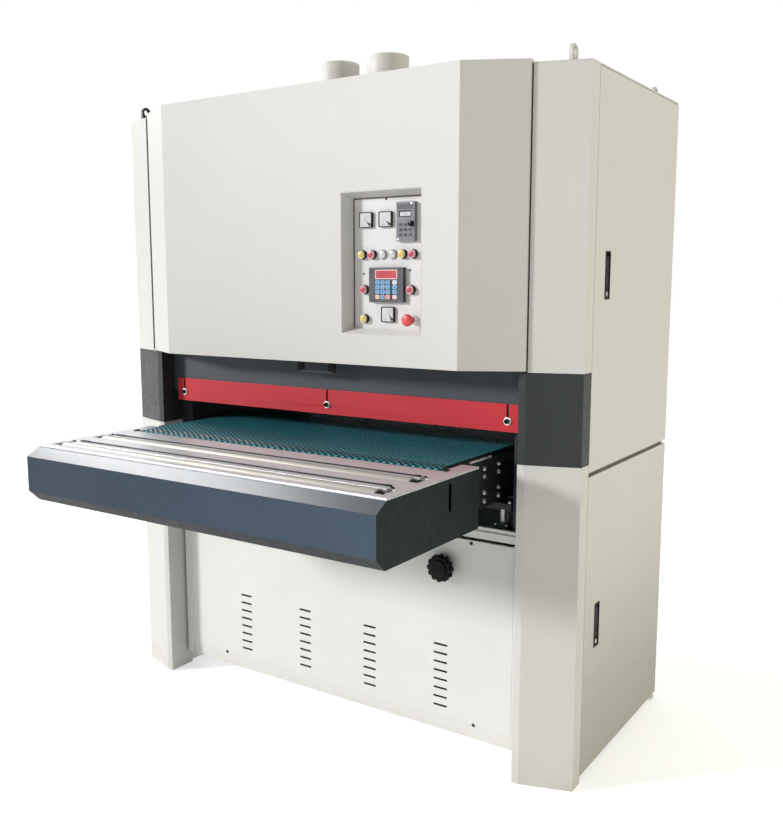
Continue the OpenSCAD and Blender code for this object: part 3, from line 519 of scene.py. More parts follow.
def feed_belt():
    """Endless belt with a raised diamond pattern all round."""
    y0, y1, zc, mid = -372.0, 750.0, 970.0, 64.0
    run, arc = y1 - y0, math.pi * 64.0
    total = 2 * (run + arc)

    def at(s, r):
        s %= total
        if s < run:
            return y0 + s, zc + r
        s -= run
        if s < arc:
            return y1 + r * math.sin(s / mid), zc + r * math.cos(s / mid)
        s -= arc
        if s < run:
            return y1 - s, zc - r
        s -= run
        return y0 - r * math.sin(s / mid), zc - r * math.cos(s / mid)

    stops = [0.0] + [run + arc * i / 28 for i in range(29)] + [2 * run + arc + arc * i / 28 for i in range(28)]
    p = Piece("feed_belt_diamond_top", "feed_table", "belt_teal", "feed_belt")
    rows = []
    for s in stops:
        (yo, zo), (yi, zi) = at(s, 62.7), at(s, 60.4)
        rows.append([(-635, yo, zo), (635, yo, zo), (635, yi, zi), (-635, yi, zi)])
    # base of the belt in the dark copy of the teal, as painted shade
    p.rings(rows, TEAL_SHADED_BASE, True)

    pitch, wide = total / 142, 26.0
    for j in range(284):
        s = j * pitch / 2
        odd = j % 2
        for i in range(48 if odd else 49):
            x = -624 + 13 * odd + wide * i
            low, top = [], []
            for du, ds in ((1, 0), (0, 1), (-1, 0), (0, -1)):
                y, z = at(s + ds * 0.80 * pitch / 2, 62.6)
                low.append(p.v((x + du * 0.80 * 13, y, z)))
                y, z = at(s + ds * 0.56 * pitch / 2, 65.0)
                top.append(p.v((x + du * 0.56 * 13, y, z)))
            # nub tops where the belt turns at the front get the painted highlight
            turn = 2 * run + arc < s and 2 * run + 2 * arc - 26 < s or s < 12
            p.paint([p.bm.faces.new(top)], TEAL_PAINTED_GLINT if turn else TEAL)
            # nub flanks in the dark copy of the teal, as painted shade
            p.paint([p.bm.faces.new((low[k], low[(k + 1) % 4], top[(k + 1) % 4], top[k])) for k in range(4)], TEAL_SHADED_FLANK)
    p.done(20, False)


feed_belt()


def infeed_roller(node, y):
    z = 1001.0
    p = Piece(node + "_tube", node, "roller_steel", node)
    for s in (-1, 1):
        p.lathe("x", (y, z), [(0, s * 636), (24, s * 636), (26.5, s * 634), (29, s * 634), (29, s * 619), (0, s * 619)], RUBBER, 48)
        p.lathe("x", (y, z), [(0, s * 690), (9.2, s * 690), (10, s * 689), (10, s * 652), (13, s * 652), (13, s * 634), (0, s * 634)], ZINC, 28)
    p.lathe("x", (y, z), [(29.2, -634), (33.4, -634), (34, -633.2), (34, -600), (33.9, -599), (34, -598), (34, 598), (33.9, 599), (34, 600), (34, 633.2), (33.4, 634),
                          (29.2, 634)], ROLLER, 120, True)
    p.done(30)


infeed_roller("infeed_roller_front", -725)
infeed_roller("infeed_roller_rear", -562)


def plate_screws():
    """Roller retainers, dark strips on the steel plate, and the small stops beside the belt."""
    p = Piece("infeed_plate_retainers", "feed_table", "black_plastic")
    for x in (-649, 649):
        # retainers behind the roller ends
        for y in (-725, -562):
            p.lathe("z", (x, y + 42), [(0, 1028.4), (6.4, 1028.4), (6.4, 1031.6), (5.4, 1032.6), (2.6, 1032.6), (2.6, 1030.6), (0, 1030.6)], OXIDE, 28)
            p.block((x - 9, y + 29.5, 1028.8), (x + 9, y + 36, 1030.4), DIALFACE, 0.5)
            p.block((x - 4, y + 21, 1028.8), (x + 4, y + 28.5, 1031.2), BLACK, 0.8)
    for y in (-664, -516):
        # dark strip in its holder behind each roller
        p.block((-632, y - 3.5, 1028.7), (632, y + 3.5, 1030.2), BLACK, 0.5)
        p.block((-630, y - 2, 1030), (630, y + 2, 1032.4), FRAME, 0.6)
        p.block((-634, y - 5, 1028.7), (-588, y + 5, 1032.8), BLACK, 0.8)
        p.block((612, y - 5, 1028.7), (634, y + 5, 1032.8), BLACK, 0.8)
    for x in (-652, 652):
        # end stops where the belt runs out of the plate
        p.block((x - 5, -419, 1028.8), (x + 5, -396, 1033), BLACK, 1.2)
        p.block((x - 6, -300, 1023.2), (x + 6, -279, 1032), BLACK, 1.2)
    p.done()
    p = Piece("bed_edge_rails", "feed_table", "bare_steel")
    for s in (-1, 1):
        p.block((s * 643 - 5, -278, 1023.2), (s * 643 + 5, -120, 1028.5), STEEL, 0.8)
        for y in (-255, -200, -145):
            p.lathe("z", (s * 643, y), [(0, 1028.0), (1.8, 1028.0), (1.8, 1029.4), (3.6, 1029.6), (3.9, 1029.2), (3.9, 1028.4), (0, 1028.2)], OXIDE, 18)
    p.done()


plate_screws()


def hex_bolt(p, axis, c, w0, w1, r, m, washer=0.0, turn=0.0):
    """Hexagon head with a washer and a domed face; w0 is the seat."""
    s = 1 if w1 > w0 else -1
    if washer:
        p.lathe(axis, c, [(0, w0), (washer, w0), (washer, w0 + s * 1.5), (washer - 0.4, w0 + s * 1.9), (0, w0 + s * 1.9)], m, 32)
    p.lathe(axis, c, [(0, w0 + s * 1.8), (r, w0 + s * 1.8), (r, w1 - s * 1.3)] + [(r * 0.9, w1 - s * 0.2), (r * 0.7, w1), (0, w1)], m, 6, turn=turn)


def bed_hardware():
    p = Piece("bed_side_bolts", "feed_table", "zinc", "bed_bolts")
    for s in (-1, 1):
        for j, y in enumerate((-169, -75)):
            for i, z in enumerate((996, 971, 920, 894)):
                hex_bolt(p, "x", (y, z), s * 648, s * 655, 7.2, ZINC, 9.2, 0.4 * i + 0.7 * j)
    p.done(24)
    p = Piece("jack_threads", "feed_table", "zinc", "jack_screws")
    for x in (-655, 655):
        for y in (-45, 455):
            rows = [[(x, y, 640)]]
            for k in range(0, 281):
                z = 640 + 0.75 * k
                row = []
                for i in range(20):
                    t = (z / 6.0 - i / 20) % 1.0
                    r = 13 - 2.2 * min(1.0, max(0.0, 4.0 * abs(t - 0.5) - 0.55))
                    row.append((x + r * math.cos(TAU * i / 20), y + r * math.sin(TAU * i / 20), z))
                rows.append(row)
            rows.append([(x, y, 850)])
            p.rings(rows, ZINC)
    p.done(40, False)
    p = Piece("jack_flanges", "frame", "frame_paint", "jack_housings")
    for x in (-655, 655):
        for y in (-45, 455):
            p.lathe("z", (x, y), [(13.1, 785), (31.4, 785), (32, 785.8), (32, 792), (31, 793), (24, 793.2), (23, 794), (23, 800.4), (22, 801.6), (14, 802), (13.1, 801)], FRAME, 44, True)
            for k in range(4):
                a = math.pi / 4 + k * math.pi / 2
                hex_bolt(p, "z", (x + 27.5 * math.cos(a), y + 27.5 * math.sin(a)), 793, 797.5, 3.4, ZINC, 4.2)
    p.done()
    p = Piece("jack_nuts", "feed_table", "frame_paint")
    for x in (-655, 655):
        for y in (-45, 455):
            p.lathe("z", (x, y), [(13.2, 848), (21.4, 848), (22, 848.6), (22, 850), (13.2, 850)], ZINC, 6, True)
            for dx in (-36, 36):
                for dy in (-30, 30):
                    hex_bolt(p, "z", (x + dx, y + dy), 872, 878.5, 6.0, ZINC, 7.5)
    p.done()


bed_hardware()


def nose_trim():
    """Black pockets behind the slots of the nose end plates, as painted shade inside the slots."""
    p = Piece("nose_slot_shade_pockets", "feed_table", "black_plastic")
    for s in (-1, 1):
        for y0, y1, z0, z1, x0, x1 in ((-482, -452, 918, 1019, 660, 664), (-482, -478, 918, 1019, 663, 693.4), (-456, -452, 918, 1019, 663, 693.4),
                                       (-479, -455, 918, 922, 663, 693.4), (-479, -455, 1015, 1019, 663, 693.4)):
            p.block((min(s * x0, s * x1), y0, z0), (max(s * x0, s * x1), y1, z1), BLACK, 0.4)
    p.done()


nose_trim()


# ------------------------------------------------------------------ control cabinet

def stroke_digit(ch):
    """Plain stroke figures in a box one wide and two high."""
    o = {"0": [[(0.2, 0), (0.8, 0), (1, 0.3), (1, 1.7), (0.8, 2), (0.2, 2), (0, 1.7), (0, 0.3), (0.2, 0)]],
         "1": [[(0.15, 1.6), (0.55, 2), (0.55, 0)]],
         "2": [[(0, 1.6), (0.2, 2), (0.8, 2), (1, 1.6), (1, 1.2), (0, 0), (1, 0)]],
         "3": [[(0, 2), (1, 2), (0.45, 1.15), (0.8, 1.1), (1, 0.8), (1, 0.3), (0.8, 0), (0, 0)]],
         "4": [[(0.75, 0), (0.75, 2), (0, 0.6), (1, 0.6)]],
         "5": [[(0.95, 2), (0.1, 2), (0, 1.1), (0.7, 1.2), (1, 0.9), (1, 0.3), (0.8, 0), (0, 0)]],
         "6": [[(0.9, 2), (0.3, 1.6), (0, 0.9), (0, 0.3), (0.2, 0), (0.8, 0), (1, 0.3), (1, 0.8), (0.8, 1.1), (0.05, 1.0)]],
         "7": [[(0, 2), (1, 2), (0.35, 0)]],
         "8": [[(0.2, 1.1), (0, 1.4), (0, 1.8), (0.2, 2), (0.8, 2), (1, 1.8), (1, 1.4), (0.8, 1.1), (0.2, 1.1), (0, 0.8), (0, 0.2), (0.2, 0), (0.8, 0), (1, 0.2), (1, 0.8),
                (0.8, 1.1)]],
         "9": [[(0.1, 0), (0.7, 0.4), (1, 1.1), (1, 1.7), (0.8, 2), (0.2, 2), (0, 1.7), (0, 1.2), (0.2, 0.9), (0.95, 1.0)]],
         "-": [[(0, 1), (1, 1)]], "+": [[(0, 1), (1, 1)], [(0.5, 0.5), (0.5, 1.5)]], ".": [[(0.4, 0), (0.6, 0)]],
         "^": [[(0, 0.6), (0.5, 1.5), (1, 0.6)]], "v": [[(0, 1.5), (0.5, 0.6), (1, 1.5)]], "<": [[(0.9, 0.4), (0.1, 1), (0.9, 1.6)]]}
    return o[ch]


def write(p, chars, cu, cv, high, w0, w1, wide, m, gap=0.7):
    """Figures centred on (cu, cv), facing -Y."""
    one = high / 2
    full = len(chars) * one + (len(chars) - 1) * one * gap
    for i, ch in enumerate(chars):
        u0 = cu - full / 2 + i * one * (1 + gap)
        p.strokes("y", [[(u0 + a * one, cv - high / 2 + b * one) for a, b in line] for line in stroke_digit(ch)], w0, w1, wide, m)


PAN = -232.0


def meters():
    p = Piece("panel_meter_set", "control_cabinet", "instrument_black", "panel_meters")
    for k, (x, z) in enumerate(((252, 1758), (326, 1758), (335, 1464))):
        p.slab("y", rrect(x, z, 48, 48, 3), PAN, PAN - 5.5, INSTRUMENT, 0.4)
        p.frame("y", rrect(x, z, 48, 48, 3), rrect(x, z, 42.6, 42.6, 2), PAN - 5, PAN - 9.6, INSTRUMENT)
        p.slab("y", rrect(x, z, 43, 43, 2), PAN - 5, PAN - 8.2, METER_FACE, 0.2)
        # quarter scale about a pivot at the lower right
        pu, pv = x + 15.5, z - 14.5
        w0, w1 = PAN - 8.1, PAN - 8.42
        arc = [(pu + 27 * math.cos(math.radians(a)), pv + 27 * math.sin(math.radians(a))) for a in range(94, 178, 6)]
        p.strokes("y", [arc], w0, w1, 0.7, INK_GREY)
        for i, a in enumerate(range(94, 179, 7)):
            c, s = math.cos(math.radians(a)), math.sin(math.radians(a))
            p.strokes("y", [[(pu + 27 * c, pv + 27 * s), (pu + (31 if i % 3 == 0 else 29.4) * c, pv + (31 if i % 3 == 0 else 29.4) * s)]], w0, w1, 0.6, INK_GREY)
        for i, txt in enumerate(("0", "1", "2", "3") if k < 2 else ("0", "5", "10", "15")):
            a = math.radians(176 - i * 26)
            write(p, txt, pu + 23 * math.cos(a), pv + 23 * math.sin(a), 3.2, w0, w1, 0.45, INK_GREY)
        p.slab("y", rrect(x - 8, z - 16, 10, 2.2, 0.5), w0, w1, INK_GREY)
        a = math.radians((139, 141, 122)[k])
        c, s = math.cos(a), math.sin(a)
        p.slab("y", [(pu + 2.4 * s, pv - 2.4 * c), (pu - 2.4 * s, pv + 2.4 * c), (pu + 12 * c - 1.6 * s, pv + 12 * s + 1.6 * c), (pu + 12 * c + 1.6 * s, pv + 12 * s - 1.6 * c)], PAN - 8.3, PAN - 9.3,
               INK, 0.2)
        p.strokes("y", [[(pu + 11 * c, pv + 11 * s), (pu + 24 * c, pv + 24 * s)]], PAN - 8.6, PAN - 8.9, 0.5, INK)
        p.lathe("y", (pu, pv), [(0, PAN - 8.2), (4.6, PAN - 8.2), (4.6, PAN - 9.2), (3.8, PAN - 9.6), (0, PAN - 9.7)], INK, 24)
    p.done()


meters()


def keypad():
    p = Piece("drive_keypad_face", "control_cabinet", "keypad_grey")
    f = PAN - 14
    # display in its recess
    p.slab("y", rrect(403, 1771.5, 45.4, 18.4, 0.6), PAN - 11, PAN - 12.2, INSTRUMENT, 0.2)
    p.slab("y", rrect(404, 1771, 38, 12, 0.8), PAN - 12.1, PAN - 12.7, LCD, 0.2)
    for i, ch in enumerate("500"):
        write(p, ch, 396 + i * 8, 1771, 8, PAN - 12.6, PAN - 12.9, 0.9, INK_GREY)
    # membrane frame above the display and around the keys
    p.slab("y", rrect(404, 1793, 56, 16, 1.5), f + 0.05, f - 0.35, CONTROLLER, 0.15)
    p.frame("y", rrect(405, 1724, 58, 56, 2.5), rrect(405, 1724, 56.6, 54.6, 2.2), f + 0.1, f - 0.4, KEYPAD)
    for i, x in enumerate((387.5, 405, 422.5)):
        for j, z in enumerate((1739, 1723.5, 1708)):
            if i == 2 and j == 0:
                continue
            p.slab("y", rrect(x, z, 11.5, 8.5, 1.6), f + 0.1, f - 1.3, KEYPAD_KEY, 0.5)
            p.strokes("y", [[(x - 2.4, z), (x + 2.4, z)]] if (i + j) % 2 else [[(x - 1.8, z - 1.2), (x, z + 1.4), (x + 1.8, z - 1.2)]], f - 1.25, f - 1.42, 0.7, INK)
    for x, z in ((427.5, 1801.5), (379, 1695)):
        p.lathe("y", (x, z), [(0, f + 0.2), (3.6, f + 0.2), (3.6, f - 0.7), (3.0, f - 1.2), (0, f - 1.3)], ZINC, 24)
        p.block((x - 2.6, f - 1.36, z - 0.35), (x + 2.6, f - 1.0, z + 0.35), INK, 0)
    p.done()
    c = middle("speed_dial")
    x, z = c[0], 1741.0
    p = Piece("speed_dial_cap", "speed_dial", "black_plastic", "speed_dial")
    rows = [[(x, PAN - 14.6, z)]]
    for y, k, ribs in ((-14.6, 0.93, 0), (-15.4, 1.0, 1), (-24.2, 0.93, 1), (-25.6, 0.82, 0.3), (-26, 0.7, 0)):
        rows.append([(x + (8.5 * k - ribs * 0.5 * (i % 2)) * math.cos(TAU * i / 48), PAN + y, z + (8.5 * k - ribs * 0.5 * (i % 2)) * math.sin(TAU * i / 48)) for i in range(48)])
    rows.append([(x, PAN - 26.1, z)])
    p.rings(rows, BLACK)
    p.lathe("y", (x, z), [(0, PAN - 14.5), (3, PAN - 14.5), (3, PAN - 3), (0, PAN - 3)], ZINC, 20)
    p.block((x - 0.6, PAN - 26.6, z + 1), (x + 0.6, PAN - 25.6, z + 7), DIALFACE, 0.1)
    p.done()


keypad()


def controller():
    p = Piece("thickness_controller_face", "control_cabinet", "controller_grey")
    f = PAN - 16
    p.slab("y", rrect(334, 1590.5, 107.4, 24.4, 0.6), PAN - 13, PAN - 15.4, CONTROLLER, 0.2)
    p.frame("y", rrect(335.5, 1588.5, 83, 29, 1.2), rrect(335.5, 1588.5, 77.5, 23.5, 0.8), f + 0.9, f - 0.6, LED_RIM)
    p.slab("y", rrect(335.5, 1588.5, 78, 24, 0.6), f + 1, f - 0.1, LED, 0.1)
    p.frame("y", rrect(334, 1556, 122, 102, 3), rrect(334, 1556, 120.6, 100.6, 2.6), f + 0.1, f - 0.35, KEYPAD)
    p.slab("y", rrect(354.8, 1541.5, 3.2, 62, 0.6), f + 0.05, f - 0.3, INSTRUMENT, 0.1)
    cols, rows = (303, 322.3, 341.6), (1564, 1549.3, 1534.3, 1518.6)
    marks = ("123", "456", "789", "-0+")
    for j, z in enumerate(rows):
        for i, x in enumerate(cols):
            m = KEY_BLUE if j < 3 or i == 1 else (KEY_ORANGE if i == 0 else KEY_PINK)
            p.slab("y", rrect(x, z, 16.4, 12.6, 2.6), f + 0.1, f - 1.1, m, 0.45)
            write(p, marks[j][i], x, z, 6.4, f - 1.05, f - 1.25, 1.15, INK)
        p.slab("y", rrect(367.6, z, 16.4, 12.6, 2.6), f + 0.1, f - 1.1, (KEY_PALE, KEY_BLUE, KEY_BLUE, LED_RIM)[j], 0.45)
        write(p, "^v<."[j], 367.6, z, 6.4, f - 1.05, f - 1.25, 1.1, INK)
    p.done()


controller()


def buttons():
    """Black bezels with a bright front rim, coloured caps, lamps and the mushroom head."""
    spots = ["head_1_start_button", "head_1_stop_button", "head_2_start_button", "head_2_stop_button", "table_up_button", "table_down_button", "feed_start_button"]
    p = Piece("button_bezels", "control_cabinet", "instrument_black", "button_collars")
    for name in spots + ["emergency_stop"]:
        c = middle(name)
        c = (c[0], c[2])
        p.lathe("y", c, [(11.1, PAN), (14.6, PAN), (15, PAN - 0.4), (15, PAN - 3.4), (14.4, PAN - 4), (13.6, PAN - 4.2), (13.5, PAN - 12.4), (11.1, PAN - 12.4)], LIT_LEDGE_PALE_BEZEL if name == "emergency_stop" else INSTRUMENT, 44, True)
        lip = LIT_LEDGE_PALE_BEZEL if name == "emergency_stop" else RING_YELLOW if "start" in name else RING_RED
        p.lathe("y", c, [(11.1, PAN - 12.2), (13.5, PAN - 12.2), (13.5, PAN - 13.2), (12.8, PAN - 14), (11.8, PAN - 14), (11.1, PAN - 13.4)], lip, 44, True)
    p.done()
    for name in spots:
        x, _, z = middle(name)
        m, ring = (YELLOW, RING_YELLOW) if "start" in name else (BRED, RING_RED)
        p = Piece(name + "_cap", name, "button_yellow" if m is YELLOW else "button_red", name)
        p.lathe("y", (x, z), [(0, PAN - 18), (6, PAN - 17.9), (8.8, PAN - 17.4), (9.2, PAN - 16.9), (9.2, PAN - 16), (0, PAN - 16)], m, 40)
        p.lathe("y", (x, z), [(0, PAN - 16.2), (9.3, PAN - 16.2), (9.5, PAN - 17.1), (10.1, PAN - 17.5), (10.8, PAN - 17.1), (11, PAN - 16.3), (11, PAN + 6), (0, PAN + 6)], ring, 40)
        p.lathe("y", (x, z), [(0, PAN + 6), (10.5, PAN + 6), (10.5, PAN + 7), (13.4, PAN + 7), (14, PAN + 7.6), (14, PAN + 9.4), (13.4, PAN + 10), (0, PAN + 10)], INSTRUMENT, 32)
        p.done()
    x, _, z = middle("emergency_stop")
    p = Piece("emergency_stop_head", "emergency_stop", "button_red", "emergency_stop")
    p.lathe("y", (x, z), [(0, PAN - 47), (8, PAN - 46.8), (13.4, PAN - 45.9), (16.8, PAN - 44.3), (18.4, PAN - 42), (19, PAN - 39), (18.8, PAN - 36), (17.6, PAN - 33.8), (15, PAN - 33), (0, PAN - 33)], MUSH, 56)
    p.lathe("y", (x, z), [(0, PAN - 33.1), (15, PAN - 33.1), (13, PAN - 29), (11, PAN - 24), (11, PAN + 7), (0, PAN + 7)], MUSH, 44)
    p.lathe("y", (x, z), [(0, PAN + 7), (13.4, PAN + 7), (14, PAN + 7.6), (14, PAN + 9.4), (13.4, PAN + 10), (0, PAN + 10)], INSTRUMENT, 32)
    for k in range(3):
        # twist arrows pressed into the head
        a0 = k * TAU / 3
        arc = [(x + 12 * math.cos(a0 + t * 0.12), z + 12 * math.sin(a0 + t * 0.12)) for t in range(9)]
        p.strokes("y", [arc], PAN - 45.2, PAN - 46.3, 1.3, MUSH)
    p.done()
    p = Piece("lamp_lenses", "control_cabinet", "lamp_white", "indicator_lamps")
    for x in (313, 351):
        p.lathe("y", (x, 1650), [(0, PAN), (14.5, PAN), (15, PAN - 0.5), (15, PAN - 3.6), (14.2, PAN - 4.6), (12.2, PAN - 5), (0, PAN - 5)], INK_GREY, 44)
        p.lathe("y", (x, 1650), [(0, PAN - 4.9), (12.2, PAN - 4.9), (12.2, PAN - 6.6), (11.6, PAN - 7.4), (9.6, PAN - 8.2), (6, PAN - 8.8), (0, PAN - 9)], LAMP, 44)
        p.lathe("y", (x, 1650), [(12.1, PAN - 4.8), (13.4, PAN - 4.8), (13.4, PAN - 6.4), (12.9, PAN - 7), (12.3, PAN - 7), (12.1, PAN - 6.8)], INK_GREY, 44, True)
        for r in (3.2, 6.4, 9.0):
            p.torus("y", (x, 1650), PAN - (8.75 if r < 4 else 8.5 if r < 8 else 8.1), r, 0.35, LAMP, 36, 6)
    p.done()


buttons()


def panel_trim():
    """Rim of the panel plate, its screws, strips along two walls of the recess, and direction arrows."""
    p = Piece("panel_plate_trim", "control_cabinet", "panel_white")
    cx, cz = 334, 1623
    p.frame("y", rrect(cx, cz, 268, 408, 4), rrect(cx, cz, 264, 404, 3), PAN + 0.1, PAN - 0.9, PANEL)
    for x, z in ((325, 1820), (329, 1416), (206, 1820), (462, 1820), (206, 1426), (462, 1426)):
        p.lathe("y", (x, z), [(0, PAN + 0.1), (3.6, PAN + 0.1), (3.6, PAN - 0.9), (2.8, PAN - 1.6), (0, PAN - 1.9)], OXIDE if 300 < x < 340 else ZINC, 24)
        p.block((x - 2.4, PAN - 2.0, z - 0.4), (x + 2.4, PAN - 1.4, z + 0.4), INK, 0)
    # painted shade: dark strips where the plate meets the left and upper walls of the recess
    p.block((199.6, PAN - 1.2, 1419.4), (204.4, PAN + 0.1, 1826.6), GAP_DARK, 0.1)
    p.block((204, PAN - 1.2, 1822.6), (468.2, PAN + 0.1, 1826.8), GAP_DARK, 0.1)
    w0, w1 = PAN + 0.1, PAN - 0.25
    p.slab("y", [(239.5 - 5, 1588), (239.5 + 5, 1588), (239.5, 1597)], w0, w1, INK)
    p.slab("y", [(413.5 - 5, 1604), (413.5 + 5, 1604), (413.5, 1595)], w0, w1, INK)
    p.done()


panel_trim()


# ------------------------------------------------------------------ front hardware

def fasteners():
    p = Piece("cover_screws", "frame", "zinc", "cover_fasteners")
    for x in (-700, 0, 700):
        z = 1141
        p.lathe("y", (x, z), [(0, -115), (4, -115), (4, -121.4), (0, -121.4)], ZINC, 20)
        p.lathe("y", (x, z), [(4, -121.4), (12.6, -121.4), (13, -121.8), (13, -123.4), (12.4, -123.8), (4, -123.8)], DIALFACE, 40, True)
        p.lathe("y", (x, z), [(0, -123.8), (7.6, -123.8), (8, -124.2), (8, -130), (7.2, -131), (4.9, -131)], OXIDE, 36)
        p.lathe("y", (x, z), [(4.9, -131), (4.6, -130.6), (4.6, -127), (0, -126.6)], OXIDE, 6)
    for x, z in ((-532, 106), (581, 106), (-548, 726), (565, 726)):
        p.lathe("y", (x, z), [(0, -96), (5.5, -96), (5.5, -97.4), (4.8, -98.8), (3.2, -99.8), (0, -100)], OXIDE, 32)
        for a in (0, 1):
            d = (2.6, 0.5) if a else (0.5, 2.6)
            p.block((x - d[0], -100.15, z - d[1]), (x + d[0], -99.2, z + d[1]), INK, 0)
    p.done()


fasteners()


def knob():
    """Twelve-lobed hand knob with a domed face and a centre cap."""
    x, z = 466, 634
    p = Piece("speed_knob_lobed", "speed_knob", "black_plastic", "speed_knob")
    n = 168

    def ring(y, r, lobe):
        row = []
        for i in range(n):
            a = TAU * i / n
            k = abs(math.cos(6 * a)) ** 0.7
            row.append((x + (r - lobe * (1 - k)) * math.cos(a), y, z + (r - lobe * (1 - k)) * math.sin(a)))
        return row

    p.rings([[(x, -112, z)], ring(-112, 40.5, 5.0), ring(-113.2, 44.5, 7.0), ring(-116, 46.4, 8.0), ring(-132, 46.4, 8.0), ring(-135.5, 45.4, 7.4), ring(-137.4, 43.0, 5.6),
             ring(-138.4, 38.0, 2.0), ring(-138.9, 33.0, 0.2), ring(-138.4, 31.2, 0), ring(-138.4, 30.2, 0), ring(-142.6, 29.4, 0), ring(-143.7, 27.0, 0), ring(-144, 20, 0), [(x, -144, z)]], BLACK)
    p.lathe("y", (x, z), [(0, -102), (16.5, -102), (18, -103.5), (18, -112.2), (0, -112.2)], BLACK, 40)
    p.lathe("y", (x, z), [(0, -102.2), (8, -102.2), (8, -60), (0, -60)], ZINC, 28)
    p.lathe("y", (x, z), [(8.1, -96), (14, -96), (14, -98.4), (13, -99.2), (8.1, -99.2)], ZINC, 36, True)
    p.done(40)


knob()


def latches():
    for name, z in (("upper", 1585), ("lower", 491)):
        door = "right_%s_door" % name
        p = Piece(name + "_latch_rim", door, "black_plastic")
        p.frame("x", rrect(38, z, 41, 144, 3), rrect(38, z, 31.4, 132.4, 1.5), 944.6, 946.2, BLACK)
        # lock: bright face plate, cylinder and key slot
        p.slab("x", rrect(38, z - 55.5, 20, 20.5, 2.5), 943.0, 944.4, OXIDE, 0.4)
        p.lathe("x", (38, z - 55.5), [(0, 944.2), (6.2, 944.2), (6.2, 945.4), (5.5, 946), (0, 946)], ZINC, 36)
        p.block((945.6, 37.3, z - 59.5), (946.3, 38.7, z - 51.5), INK, 0)
        p.done()
        p = Piece(name + "_latch_grip", name + "_latch_handle", "black_plastic")
        for k in range(6):
            p.block((944.3, 38 - 10.5, z - 38 + k * 5.2), (945.1, 38 + 10.5, z - 36 + k * 5.2), BLACK, 0.3)
        p.done()


latches()


def roof_fittings():
    p = Piece("dust_port_collars", "frame", "shell_paint", "dust_ports")
    for x in (-105.5, 105.5):
        # the port collars wear the lighter copy of the shell paint, as painted light
        p.lathe("z", (x, 105), [(70, 2180), (81.4, 2180), (82, 2180.6), (82, 2183), (81, 2184), (75.5, 2184.2), (73.4, 2185.6), (73, 2188), (73, 2313), (72.3, 2315), (72.3, 2317.5), (73, 2319.5),
                                (73, 2331.2), (72.2, 2332.8), (70.8, 2332.8), (70, 2331.5), (70, 2200)], SHELL_LIT, 72, True)
        # lap seam down the back of the tube, and flange rivets
        p.block((x - 5, 105 + 71.6, 2187), (x + 5, 105 + 73.4, 2330), SHELL_LIT, 0.5)
        for k in range(8):
            a = TAU * (k + 0.5) / 8
            p.lathe("z", (x + 78.3 * math.cos(a), 105 + 78.3 * math.sin(a)), [(0, 2183.6), (2.6, 2183.6), (2.3, 2185), (1.3, 2185.8), (0, 2186)], SHELL_LIT, 14)
    p.done()
    p = Piece("lifting_lugs", "frame", "zinc", "lifting_eyes")
    side = [(20.5 * math.cos(a), 30 + 20.5 * math.sin(a)) for a in np.linspace(0, math.pi, 25)] + [(-20.5, 2), (-14, 2), (14, 2), (20.5, 2)]
    eye = []
    for u, v in side:
        a = math.atan2(v - 30, u)
        eye.append((12 * math.cos(a), 30 + 12 * math.sin(a)))
    for x in (-880, 880):
        for y in (-108, 600):
            # the left lugs are black as painted shade; the right ones wear the shell paint
            lug_paint_left_shaded = OXIDE if x < 0 else SHELL
            p.lathe("z", (x, y), [(0, 2180), (16.4, 2180), (17, 2180.6), (17, 2184.6), (15.5, 2186), (0, 2186)], lug_paint_left_shaded, 40)
            ring = lambda pts, w, k: [(x + w, y + u * k, 2180 + 30 + (v - 30) * k) for u, v in pts]
            p.rings([ring(side, -4.8, 1), ring(side, 4.8, 1), ring(side, 6, 0.94), ring(eye, 6, 1.1), ring(eye, 4.6, 1), ring(eye, -4.6, 1), ring(eye, -6, 1.1), ring(side, -6, 0.94)], lug_paint_left_shaded, True)
    p.done(40)


roof_fittings()


def rear_screws():
    """Dome screws that hold the drive-side and rear covers."""
    p = Piece("rear_cover_screws", "frame", "zinc")

    def dome(axis, c, w, s):
        p.lathe(axis, c, [(0, w), (6.2, w), (6.2, w + s * 0.8), (5.2, w + s * 2.2), (3.4, w + s * 3.0), (2.2, w + s * 3.1)], ZINC, 26)
        p.lathe(axis, c, [(2.2, w + s * 3.1), (2.1, w + s * 1.4), (0, w + s * 1.4)], INK, 6)

    for x in (-890, -445, 0, 445, 890):
        for z in (1172, 2150, 90, 792):
            dome("y", (x, z), 671, 1)
    for x in (-890, 890):
        for z in (1500, 1830, 320, 560):
            dome("y", (x, z), 671, 1)
    for s in (-1, 1):
        for x, z in ((742, 838), (890, 838), (742, 1127), (890, 1127)):
            dome("y", (s * x, z), 671, 1)
    for y in (-40, 300, 640):
        for z in (48, 500, 956, 1022, 1580, 2146):
            dome("x", (y, z), -945, -1)
    p.done()


rear_screws()


def fillers():
    """Sill behind the gap of the two right doors, and the strips between the lower panel and the columns."""
    p = Piece("door_gap_sill", "frame", "shell_paint")
    p.block((926, -58, 983.5), (938, 640, 994.5), GAP_DARK, 0.6)
    p.block((905, -58, 986), (927, -46, 992), GAP_DARK, 0.4)
    p.done()
    p = Piece("door_top_sill", "frame", "shell_paint")
    p.block((929, -62, 2166), (941, 640, 2176.5), SHELL, 0.6)
    p.block((905, -60, 2168), (930, -48, 2175), SHELL, 0.4)
    p.done()
    p = Piece("panel_side_strips", "frame", "shell_paint")
    for a, b in ((-752, -719.2), (718.1, 761.9)):
        # strips in the lighter copy of the shell paint, as painted light
        p.block((a, -95.4, 62), (b, -93.2, 742), SHELL_LIT, 0.5)
        p.block((a, -93.5, 62), (a + 3, -82, 742), SHELL_LIT, 0.4)
        p.block((b - 3, -93.5, 62), (b, -82, 742), SHELL_LIT, 0.4)
    p.done()


fillers()


